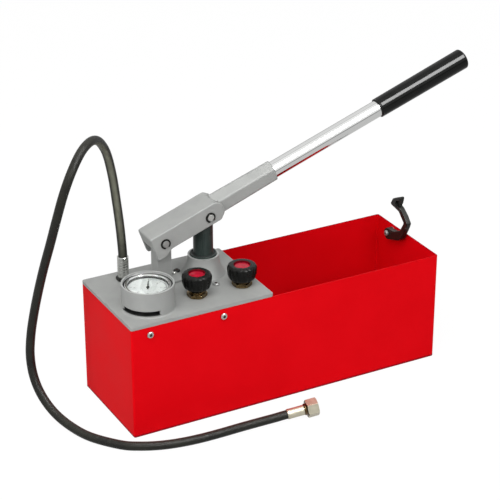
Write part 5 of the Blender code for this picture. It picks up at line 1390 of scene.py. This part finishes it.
    def build(self) -> None:
        """Make the lever."""
        fitted(self.head(), "lever_head_casting", CASTING, "lever_head", place=LEVER_PLACE)
        tube = ring((self.tube_radius - self.tube_wall, self.tube_radius), self.tube_range,
                    steps=96)
        fitted(tube, "lever_tube_bar", CHROME, "lever_tube", place=self.bar())
        fitted(self.grip(), "lever_grip_sleeve", GRIP_PLASTIC, "lever_grip",
               place=self.bar(self.grip_start))
        face = self.width / 2 + GAP
        for name, x, finish in (("pivot_pin", 0.0, PIN_STEEL),
                                ("piston_pin", self.pin_spacing, STEEL)):
            back = aimed((x, face + self.clip_thickness, 0), (0, -1, 0))
            fitted(self.pin(), name + "_bolt", finish, name, place=LEVER_PLACE @ back)
            front = aimed((x, -face, 0), (0, -1, 0))
            fitted(self.clip(), name + "_clip", DARK_STEEL, name + "_ring",
                   place=LEVER_PLACE @ front)


@dataclass
class Post:
    """The post on the plate that carries the pivot pin."""

    centre: Flat = (-0.1542, 0.025)
    half: float = 0.01175
    thickness: float = 0.022
    crown: float = 0.24825
    foot_half: Flat = (0.030, 0.015)
    foot_height: float = 0.003
    foot_corner: float = 0.004
    edge: float = 0.0018
    hole_edge: float = 0.0005
    pin_hole: float = 0.0053

    def build(self) -> None:
        """Make the post."""
        x, y = self.centre
        low = SEAT + self.foot_height - OVERRUN
        top = arc((x, self.crown), (self.half, self.half), 0, 180, 24)
        column = prism([(x - self.half, low), (x + self.half, low), *top], self.thickness)
        column.transform(Matrix.Translation((0, y, 0)) @ STAND_UP)
        softened(column, self.edge, segments=4, angle=60)
        foot = box((x - self.foot_half[0], x + self.foot_half[0]),
                   (y - self.foot_half[1], y + self.foot_half[1]),
                   (SEAT, SEAT + self.foot_height), self.foot_corner)
        side = self.thickness / 2 + 2 * OVERRUN
        holes = [(self.pin_hole, aimed((PIVOT[0], y + side, PIVOT[2]), (0, -1, 0)), 2 * side)]
        holes += [(SMALL_SCREW_HOLE, stood(spot, SEAT - OVERRUN),
                   self.foot_height + 2 * OVERRUN) for spot in POST_SCREWS.values()]
        bm = softened(drilled(worked(foot, column, Join.ADD), holes), self.hole_edge,
                      segments=2, angle=50)
        fitted(bm, "lever_post_casting", CASTING, "lever_post")


@dataclass
class Gauge:
    """The pressure gauge in its guard: bezel, glass, printed dial and pointer."""

    bezel_bore: float = 0.0313
    bezel_outer: float = 0.0337
    bezel_side: tuple[Flat, ...] = ((0.0011, 0.0), (0.0004, 0.0004), (0.0, 0.0011),
                                    (0.0, 0.004), (0.0004, 0.0044), (0.0004, 0.0052),
                                    (0.0, 0.0056))
    bezel_z: Flat = (0.1996, 0.2138)
    lip_radius: float = 0.0296
    lip_slope: Flat = (0.0006, 0.0005)
    lip_bottom: float = 0.2122
    glass_radius: float = 0.031
    glass_z: Flat = (0.2099, 0.2119)
    glass_edge: float = 0.0002
    dial_radius: float = 0.0293
    dial_bore: float = 0.0013
    dial_z: Flat = (0.2063, 0.2071)
    zero: float = 63.0
    sweep: float = 270.0
    divisions: int = 30
    per_number: int = 5
    long_stroke: Flat = (0.0042, 0.00036)
    short_stroke: Flat = (0.0022, 0.00016)
    scale_line: float = 0.0004
    ink: float = 0.00006
    scale_radius: float = 0.0266
    number_radius: float = 0.0190
    number_height: float = 0.0036
    numbers: tuple[int, ...] = (0, 10, 20, 30, 40, 50, 60)
    pointer_z: float = 0.2079
    pointer_length: float = 0.0195
    pointer_tail: float = 0.006
    pointer_half: float = 0.0013
    waist_share: float = 0.8
    tip_share: float = 0.25
    pointer_thickness: float = 0.0006
    hub: float = 0.0024
    hub_edge: float = 0.0003
    spindle: float = 0.0008
    spindle_length: float = 0.0049

    def reading(self, share: float) -> float:
        """Give the direction in degrees of a share of the scale, which runs clockwise."""
        return self.zero - self.sweep * share

    def marks(self) -> Shape:
        """Print the scale: a fine arc with long and short strokes."""
        heights = (self.dial_z[1], self.dial_z[1] + self.ink)
        line = ring((self.scale_radius, self.scale_radius + self.scale_line), heights, 90,
                    math.radians(self.sweep))
        line.transform(stood(GAUGE_SPOT, 0, self.reading(1.0)))
        shapes = [line]
        for index in range(self.divisions + 1):
            length, half = self.short_stroke if index % self.per_number else self.long_stroke
            stroke = box((self.scale_radius - length, self.scale_radius), (-half, half), heights)
            stroke.transform(stood(GAUGE_SPOT, 0, self.reading(index / self.divisions)))
            shapes.append(stroke)
        return merged(shapes)

    def figures(self) -> Shape:
        """Print the numbers, upright to a reader at the scale's open side."""
        shapes = []
        upright = self.zero + (360 - self.sweep) / 2 + 90
        for index, number in enumerate(self.numbers):
            text = bpy.data.curves.new("figure", "FONT")
            text.body = str(number)
            text.size = self.number_height
            text.align_x = text.align_y = "CENTER"
            text.extrude = self.ink / 2
            writing = bpy.data.objects.new("figure", text)
            bpy.context.scene.collection.objects.link(writing)
            graph = bpy.context.evaluated_depsgraph_get()
            mesh = bpy.data.meshes.new_from_object(writing.evaluated_get(graph))
            bpy.data.objects.remove(writing)
            bpy.data.curves.remove(text)
            bm = bmesh.new()
            bm.from_mesh(mesh)
            bpy.data.meshes.remove(mesh)
            bmesh.ops.remove_doubles(bm, verts=bm.verts, dist=MERGE / 2)
            turn = math.radians(self.reading(index / (len(self.numbers) - 1)))
            way = Vector((math.cos(turn), math.sin(turn)))
            spot = Vector(GAUGE_SPOT) + self.number_radius * way
            bm.transform(stood(spot, self.dial_z[1] + self.ink / 2, upright))
            shapes.append(bm)
        return merged(shapes)

    def pointer(self) -> Shape:
        """Shape the pointer with a slim tip, a round tail and its hub."""
        half, top = self.pointer_half, self.pointer_thickness
        waist, tip = half * self.waist_share, half * self.tip_share
        bm = prism([(-self.pointer_tail, -half), (0, -waist), (self.pointer_length, -tip),
                    (self.pointer_length, tip), (0, waist), (-self.pointer_tail, half)], top)
        hub = turned([(self.hub - self.hub_edge, top), (self.hub, top - self.hub_edge),
                      (self.hub, -top / 2), (self.spindle, -top / 2),
                      (self.spindle, -self.spindle_length)], steps=36)
        return worked(bm, hub, Join.ADD)

    def bezel(self) -> Shape:
        """Turn the bezel with its lip over the glass and the groove in its side."""
        low, high = self.bezel_z
        slope, drop = self.lip_slope
        side = [(self.bezel_outer - inset, high - depth) for inset, depth in self.bezel_side]
        return turned([(self.lip_radius, high - drop), (self.lip_radius + slope, high), *side,
                       (self.bezel_outer, low), (self.bezel_bore, low),
                       (self.bezel_bore, self.lip_bottom),
                       (self.lip_radius, self.lip_bottom)], steps=120, closed=True)

    def build(self) -> None:
        """Make the gauge's visible pieces."""
        axis = stood(GAUGE_SPOT)
        fitted(self.bezel(), "gauge_bezel_ring", CHROME, "gauge_bezel", place=axis)
        glass = softened(rod(self.glass_radius, *self.glass_z, steps=96), self.glass_edge,
                         segments=2)
        fitted(glass, "gauge_glass_disc", CLEAR_GLASS, "gauge_glass", place=axis)
        dial = ring((self.dial_bore, self.dial_radius), self.dial_z, steps=96)
        fitted(dial, "gauge_dial_card", DIAL_CARD, "gauge_dial", place=axis)
        fitted(self.marks(), "gauge_dial_scale", DIAL_INK, body="base")
        fitted(self.figures(), "gauge_dial_numbers", DIAL_INK, body="base")
        fitted(self.pointer(), "gauge_pointer_needle", BLACK_PLASTIC, "gauge_pointer",
               place=stood(GAUGE_SPOT, self.pointer_z, self.zero))


@dataclass
class Valve:
    """One valve: a hexagonal bonnet, a fluted knob and the red disc in its top."""

    place: ValvePlace
    across: float = 0.0262
    hex_height: float = 0.006
    hex_chamfer: float = 0.0016
    edge: float = 0.00025
    neck: float = 0.0105
    neck_start: float = 0.001
    neck_chamfer: float = 0.0006
    height: float = 0.0085
    stem: float = 0.009
    stem_length: float = 0.014
    bore: float = 0.0043
    knob_gap: float = 0.001
    knob_height: float = 0.0235
    knob_radius: float = 0.0219
    flutes: int = 14
    flute_depth: float = 0.0011
    flute_sharpness: int = 3
    fade_shares: Flat = (0.08, 0.10)
    steps_per_flute: int = 12
    recess: float = 0.0122
    recess_depth: float = 0.0040
    rim_width: float = 0.001
    rim: tuple[Flat, ...] = ((0.0009, 0.0), (0.0003, 0.0003), (0.0, 0.0010))
    bore_depth: float = 0.014
    disc: float = 0.0014
    disc_side: float = 0.0004
    disc_crown: float = 0.0005
    crown_shares: tuple[float, ...] = (0.0, 0.2, 0.4, 0.6, 0.8, 0.94)
    side: tuple[Flat, ...] = (
        (0.00, 0.700), (0.015, 0.742), (0.04, 0.792), (0.08, 0.838), (0.14, 0.882),
        (0.22, 0.920), (0.34, 0.954), (0.48, 0.980), (0.60, 0.994), (0.72, 1.0),
        (0.80, 0.998), (0.86, 0.984), (0.91, 0.958), (0.95, 0.920), (0.98, 0.870),
        (1.00, 0.800),
    )

    def bonnet(self) -> Shape:
        """Make the bonnet: a hexagon with turned corners, a neck and the screwed stem."""
        chamfer = self.neck_chamfer
        body = turned([(self.neck - chamfer, self.height), (self.neck, self.height - chamfer),
                       (self.neck, self.neck_start), (self.stem, self.neck_start),
                       (self.stem, -self.stem_length)], steps=64)
        bm = worked(hexagon(self.across, 0, self.hex_height, self.hex_chamfer), body, Join.ADD)
        bm = drilled(bm, [(self.bore, stood((0, 0), -self.stem_length - OVERRUN),
                           self.stem_length + self.height + 2 * OVERRUN)])
        return softened(bm, self.edge, segments=2)

    def knob(self) -> Shape:
        """Mould the knob: turned first, then its flutes pressed in."""
        side = [(self.knob_radius * radius, self.knob_height * height)
                for height, radius in self.side]
        rim = [(self.recess + width, self.knob_height - depth) for width, depth in self.rim]
        bm = turned([(self.bore, self.bore_depth), (self.bore, 0), *side, *rim,
                     (self.recess, self.knob_height - self.recess_depth)],
                    self.flutes * self.steps_per_flute)
        foot, top = self.fade_shares
        for vert in bm.verts:
            radius = vert.co.xy.length
            if radius <= self.recess + self.rim_width:
                continue
            share = vert.co.z / self.knob_height
            fade = min(1.0, share / foot) * min(1.0, max(0.0, (1.0 - share) / top))
            turn = math.atan2(vert.co.y, vert.co.x)
            wave = ((1 - math.cos(self.flutes * turn)) / 2) ** self.flute_sharpness
            vert.co.xy *= (radius - self.flute_depth * fade * wave) / radius
        return marked(bm, self.in_recess)

    def in_recess(self, face: Face) -> bool:
        """Tell whether a face is on the wall of the knob's recess, which takes a painted dark red
        for the disc's reflection and the recess's shade.
        """
        spot = face.calc_center_median()
        floor = self.knob_height - self.recess_depth
        return floor + GAP < spot.z and spot.xy.length < self.recess + GAP

    def cap(self) -> Shape:
        """Turn the slightly crowned disc."""
        low = self.knob_height - self.recess_depth + GAP
        radius = self.recess - GAP
        crown = [(radius * share, low + self.disc - self.disc_crown * share ** 2)
                 for share in self.crown_shares]
        return turned([*crown, (radius, low + self.disc_side), (radius, low)], steps=64)

    def build(self) -> None:
        """Make the valve."""
        name, spot, lift = self.place.value
        fitted(self.bonnet(), name + "_bonnet_hex", BRASS, name + "_bonnet",
               place=stood(spot, SEAT))
        stand = stood(spot, SEAT + self.height + self.knob_gap + lift)
        fitted(self.knob(), name + "_knob_fluted", BLACK_PLASTIC, name + "_knob",
               others=[RECESS_REFLECTION_SHADE], place=stand)
        fitted(self.cap(), name + "_disc", RED_PLASTIC, name + "_cap", place=stand)


@dataclass
class Hose:
    """The high-pressure hose: a black cord that stands in a loop and lies along the floor."""

    length: float = 1.061
    sides: int = 32
    steps_per_span: int = 10
    stub: float = 0.008
    # Direction in plan that the painted sheen on the hose faces.
    sheen_side: Flat = (-0.40, -0.92)
    edge: float = 0.0002
    fitting_across: float = 0.019
    fitting_height: float = 0.005
    fitting_chamfer: float = 0.0012
    stem: float = 0.006
    stem_depth: float = 0.018
    ferrule: float = 0.0084
    ferrule_z: Flat = (0.184, 0.2165)
    ferrule_edges: Flat = (0.0006, 0.0008)
    crimps: int = 6
    crimp_start: float = 0.005
    crimp_pitch: float = 0.0042
    crimp: tuple[Flat, ...] = ((0.0, 0.0), (0.00045, 0.0007), (0.00045, 0.0015), (0.0, 0.0022))
    end_ferrule: tuple[Flat, ...] = (
        (0.0072, 0.0003), (0.0077, 0.0008), (0.0077, 0.0034), (0.0075, 0.0044),
        (0.0075, 0.0226), (0.0077, 0.0236), (0.0077, 0.0252), (0.0072, 0.0257),
    )
    nipple: tuple[Flat, ...] = (
        (0.0078, 0.0260), (0.0087, 0.0268), (0.0087, 0.0280), (0.0080, 0.0283),
        (0.0080, 0.0288), (0.0087, 0.0291), (0.0087, 0.0294), (0.006, 0.0294),
        (0.006, 0.0335), (0.0095, 0.0335), (0.0095, 0.0365),
    )
    gasket: Flat = (0.0045, 0.0095)
    gasket_range: Flat = (0.0368, 0.0383)
    gasket_edge: float = 0.0003
    union_start: float = 0.0297
    union_across: float = 0.024
    union_length: float = 0.0168
    union_chamfer: float = 0.0016
    union_edge: float = 0.0003
    union_hole: float = 0.0063
    union_bore: float = 0.0103
    union_back: float = 0.0035
    union_mouth: Flat = (0.0012, 0.0005)
    back_slope: float = 0.4
    thread_start: float = 0.0011
    thread_step: float = 0.0006
    thread_depth: float = 0.0004
    thread_points: int = 18
    union_turn: float = -18.0
    union: Point = (0.0023, -0.1537, 0.0159)
    route: tuple[Point, ...] = (
        (-0.2005, 0.0580, 0.2168), (-0.2010, 0.0630, 0.2620), (-0.2015, 0.0720, 0.3010),
        (-0.2035, 0.0780, 0.3360), (-0.2100, 0.0785, 0.3690), (-0.2205, 0.0720, 0.3900),
        (-0.2345, 0.0600, 0.4040), (-0.2520, 0.0445, 0.4090), (-0.2720, 0.0285, 0.4030),
        (-0.2915, 0.0165, 0.3830), (-0.3060, 0.0133, 0.3540), (-0.3160, 0.0180, 0.3170),
        (-0.3235, 0.0280, 0.2765), (-0.3310, 0.0393, 0.2350), (-0.3380, 0.0488, 0.1935),
        (-0.3443, 0.0545, 0.1563), (-0.3495, 0.0565, 0.1240), (-0.3530, 0.0545, 0.0930),
        (-0.3528, 0.0463, 0.0635), (-0.3482, 0.0310, 0.0383), (-0.3392, 0.0078, 0.0188),
        (-0.3275, -0.0240, 0.0090), (-0.3125, -0.0620, 0.0070), (-0.2840, -0.1010, 0.0070),
        (-0.2610, -0.1175, 0.0070), (-0.2350, -0.1290, 0.0070), (-0.2065, -0.1360, 0.0070),
        (-0.1760, -0.1395, 0.0070), (-0.1445, -0.1403, 0.0070), (-0.1120, -0.1400, 0.0070),
        (-0.0800, -0.1403, 0.0070), (-0.0580, -0.1413, 0.0074), (-0.0386, -0.1446, 0.0098),
    )

    def centreline(self) -> list[Vector]:
        """Give close points on one smooth curve through the route.

        Returns:
            The points from the fitting to the end ferrule.
        """
        route = [Vector(point) for point in self.route]
        aim = self.end_aim()
        route.insert(1, route[0] + Vector((0, 0, self.stub)))
        route.insert(-1, route[-1] - aim * self.stub)
        padded = [2 * route[0] - route[1], *route, 2 * route[-1] - route[-2]]
        points = []
        for index in range(1, len(padded) - 2):
            before, here, there, after = padded[index - 1:index + 3]
            for step in range(self.steps_per_span):
                share = step / self.steps_per_span
                square, cube = share ** 2, share ** 3
                points.append(0.5 * (2 * here + (there - before) * share
                                     + (2 * before - 5 * here + 4 * there - after) * square
                                     + (3 * here - before - 3 * there + after) * cube))
        points.append(route[-1])
        return points

    def end_aim(self) -> Vector:
        """Give the direction in which the hose ends."""
        return (Vector(self.union) - Vector(self.route[-1])).normalized()

    def skin(self) -> bpy.types.Object:
        """Draw a round section out along the centreline, with a wrap map in metres.

        Returns:
            The hose.
        """
        path = self.centreline()
        bm = bmesh.new()
        wrap = bm.loops.layers.uv.new("UVMap")
        section = bmesh.ops.create_circle(bm, cap_ends=False, segments=self.sides,
                                          radius=HOSE_RADIUS)["verts"]
        heading = (path[1] - path[0]).normalized()
        bmesh.ops.translate(bm, vec=path[0], verts=section)
        edges = list(bm.edges)
        travelled = 0.0
        around = math.tau * HOSE_RADIUS / self.sides
        # The wrap map counts its turns from the side that the painted sheen faces.
        painted_sheen = Vector(self.sheen_side)
        place = {vert: (round(painted_sheen.angle_signed((vert.co - path[0]).xy) / math.tau * self.sides)
                        % self.sides, 0.0) for vert in section}
        for index in range(1, len(path)):
            after = path[min(index + 1, len(path) - 1)]
            turned_to = (after - path[index - 1]).normalized()
            grown = bmesh.ops.extrude_edge_only(bm, edges=edges)["geom"]
            verts = [item for item in grown if isinstance(item, bmesh.types.BMVert)]
            edges = [item for item in grown if isinstance(item, Edge)]
            travelled += (path[index] - path[index - 1]).length
            for vert in verts:
                old = min(section, key=lambda other: (other.co - vert.co).length_squared)
                place[vert] = (place[old][0], travelled)
            bmesh.ops.translate(bm, vec=path[index] - path[index - 1], verts=verts)
            bend = heading.rotation_difference(turned_to).to_matrix()
            bmesh.ops.rotate(bm, cent=path[index], matrix=bend, verts=verts)
            heading = turned_to
            section = verts
        for face in bm.faces:
            highest = max(place[loop.vert][0] for loop in face.loops)
            for loop in face.loops:
                turn, along = place[loop.vert]
                if highest - turn > self.sides / 2:
                    turn += self.sides
                loop[wrap].uv = (turn * around, along)
        bmesh.ops.holes_fill(bm, edges=[edge for edge in bm.edges if edge.is_boundary])
        bmesh.ops.recalc_face_normals(bm, faces=bm.faces)
        return fitted(bm, "hose_skin", HOSE_RUBBER, "hose")

    def fitting(self) -> None:
        """Make the dark screwed fitting and the crimped ferrule on it."""
        low, high = self.ferrule_z
        axis = stood(HOSE_SPOT)
        bm = worked(hexagon(self.fitting_across, SEAT, SEAT + self.fitting_height,
                            self.fitting_chamfer),
                    rod(self.stem, SEAT - self.stem_depth, SEAT + OVERRUN), Join.ADD)
        fitted(softened(bm, self.edge, segments=2), "hose_fitting_hex", DARK_STEEL, "hose_fitting",
               place=axis)
        foot, top = self.ferrule_edges
        side = [(self.ferrule - foot, low), (self.ferrule, low + foot)]
        for index in range(self.crimps):
            start = low + self.crimp_start + self.crimp_pitch * index
            side += [(self.ferrule - depth, start + rise) for depth, rise in self.crimp]
        side += [(self.ferrule, high - top), (self.ferrule - top, high)]
        fitted(turned(side, steps=64), "hose_ferrule_crimped", STEEL, "hose_ferrule", place=axis)

    def nut(self) -> Shape:
        """Make the union nut with its thread, and mark its back faces, which take painted shade.
        """
        nut = hexagon(self.union_across, 0, self.union_length, self.union_chamfer)
        nut = drilled(nut, [(self.union_hole, stood((0, 0), -OVERRUN),
                             self.union_back + 2 * OVERRUN)])
        start = self.union_back + self.thread_start
        thread = [(self.union_bore - self.thread_depth * (index % 2),
                   start + self.thread_step * index) for index in range(self.thread_points)]
        flare, past = self.union_mouth
        bore = turned([(self.union_bore, self.union_back), *thread,
                       (self.union_bore, self.union_length - OVERRUN),
                       (self.union_bore + flare, self.union_length + past)], steps=64)
        nut = softened(worked(nut, bore, Join.CUT), self.union_edge, segments=2, angle=50)
        return marked(nut, lambda face: face.normal.z < -self.back_slope)

    def far_end(self) -> None:
        """Make the ferrule, nipple, gasket and union nut at the hose's end."""
        place = aimed(self.route[-1], self.end_aim())
        fitted(turned(self.end_ferrule, steps=64), "hose_end_ferrule_crimped", NICKEL,
               "hose_end_ferrule", place=place)
        fitted(softened(turned(self.nipple, steps=64), self.edge, segments=2), "hose_nipple_stem",
               NICKEL_STAINED_AND_SHADED, "hose_nipple", place=place)
        gasket = softened(ring(self.gasket, self.gasket_range), self.gasket_edge, segments=2)
        fitted(gasket, "union_gasket_ring", RUBBER, "union_gasket", place=place)
        fitted(self.nut(), "union_nut_hex", NICKEL, "union_nut", others=[NICKEL_STAINED_AND_SHADED],
               place=place @ stood((0, 0), self.union_start, self.union_turn))

    def build(self) -> None:
        hose = self.skin()
        self.fitting()
        self.far_end()


@dataclass
class LatchHook:
    """The black hook on the right end wall, with its washer and nut."""

    pivot_x: float = 0.2473
    thickness: float = 0.008
    reach: float = 0.073
    boss: float = 0.0092
    boss_drop: float = 0.0015
    edge: float = 0.0014
    corner: float = 0.0012
    corner_angle: float = 14.0
    notch_share: float = 0.55
    washer: float = 0.0085
    washer_x: float = 0.2516
    washer_thickness: float = 0.0016
    washer_edge: float = 0.0003
    nut_across: float = 0.010
    nut_x: float = 0.2553
    nut_height: float = 0.005
    nut_chamfer: float = 0.0007
    nut_edge: float = 0.0002
    outline: tuple[Flat, ...] = (
        (-0.425, -0.006), (-0.520, 0.062), (-0.594, 0.190), (-0.653, 0.285), (-0.718, 0.420),
        (-0.745, 0.500), (-0.629, 0.630), (-0.458, 0.756), (-0.377, 0.781), (-0.415, 0.835),
        (-0.452, 0.975), (-0.424, 1.0), (-0.171, 0.878), (-0.090, 0.744), (-0.126, 0.708),
        (-0.259, 0.690), (-0.411, 0.663), (-0.490, 0.589), (-0.607, 0.484), (-0.590, 0.434),
        (-0.470, 0.237), (-0.266, 0.138),
    )
    notch: tuple[Flat, ...] = (
        (-0.470, 0.800), (-0.420, 0.755), (-0.300, 0.740), (-0.265, 0.800), (-0.300, 0.875),
        (-0.470, 0.930),
    )

    def build(self) -> None:
        """Make the hook and what holds it."""
        arm = [(y * self.reach, z * self.reach) for y, z in self.outline]
        eye = arc((0, -self.boss_drop), (self.boss, self.boss), 80, -120, 20)
        bm = prism([*arm, *eye], self.thickness)
        limit = math.radians(self.corner_angle)
        corners = [edge for edge in upright_edges(bm) if edge.calc_face_angle() > limit]
        softened(rounded(bm, corners, self.corner, segments=3, clamp=True), self.edge, angle=60)
        notch = prism([(y * self.reach, z * self.reach) for y, z in self.notch], self.thickness)
        notch.transform(stood((0, 0), -self.thickness * self.notch_share))
        bm = drilled(worked(bm, notch, Join.CUT),
                     [(SCREW_HOLE, stood((0, 0), -self.thickness), 2 * self.thickness)])
        fitted(bm, "latch_hook_arm", DARK_STEEL, "latch_hook",
               place=Matrix.Translation((self.pivot_x, *HOOK_SPOT)) @ BAR_TURN)
        washer = ring((SCREW_HOLE, self.washer), (0, self.washer_thickness))
        fitted(softened(washer, self.washer_edge, segments=2), "hook_washer_ring", STEEL,
               "hook_washer", place=aimed((self.washer_x, *HOOK_SPOT), (1, 0, 0)))
        nut = drilled(hexagon(self.nut_across, 0, self.nut_height, self.nut_chamfer),
                      [(SCREW_HOLE, stood((0, 0), -OVERRUN), self.nut_height + 2 * OVERRUN)])
        fitted(softened(nut, self.nut_edge, segments=2), "hook_nut_hex", STEEL, "hook_nut",
               place=aimed((self.nut_x, *HOOK_SPOT), (1, 0, 0)))


@dataclass
class InnerParts:
    """The carried-over solids under the plate and inside the gauge and the valves."""

    finishes: tuple[tuple[Finish, tuple[str, ...]], ...] = (
        (BARE_CASTING, ("pump_body", "foot_valve")),
        (STEEL, ("pump_barrel", "suction_ball", "suction_pipe", "delivery_pipe",
                 "delivery_ball", "seal_nut", "pressure_valve_spindle",
                 "release_valve_spindle")),
        (DARK_STEEL, ("tube_set_screw", "gauge_case")),
        (BRASS, ("suction_strainer", "gauge_stem", "gauge_movement", "bourdon_tube")),
        (RUBBER, ("piston_seal",)),
    )

    def build(self) -> None:
        """Give each solid its finish."""
        for finish, nodes in self.finishes:
            for name in nodes:
                materials = FRAME["nodes"][name].data.materials
                materials.clear()
                materials.append(finish.material())
                LOG.info("%s: %s", name, finish.name)


def main() -> None:
    """Build the pump's looks in order."""
    logging.basicConfig(level=logging.INFO, format="%(name)s: %(message)s")
    Studio().build()
    Hose().build()
    Tank().build()
    CoverPlate().build()
    Fastenings().build()
    Piston().build()
    Lever().build()
    Post().build()
    Gauge().build()
    for place in ValvePlace:
        Valve(place).build()
    LatchHook().build()
    InnerParts().build()


if __name__ == "__main__":
    main()
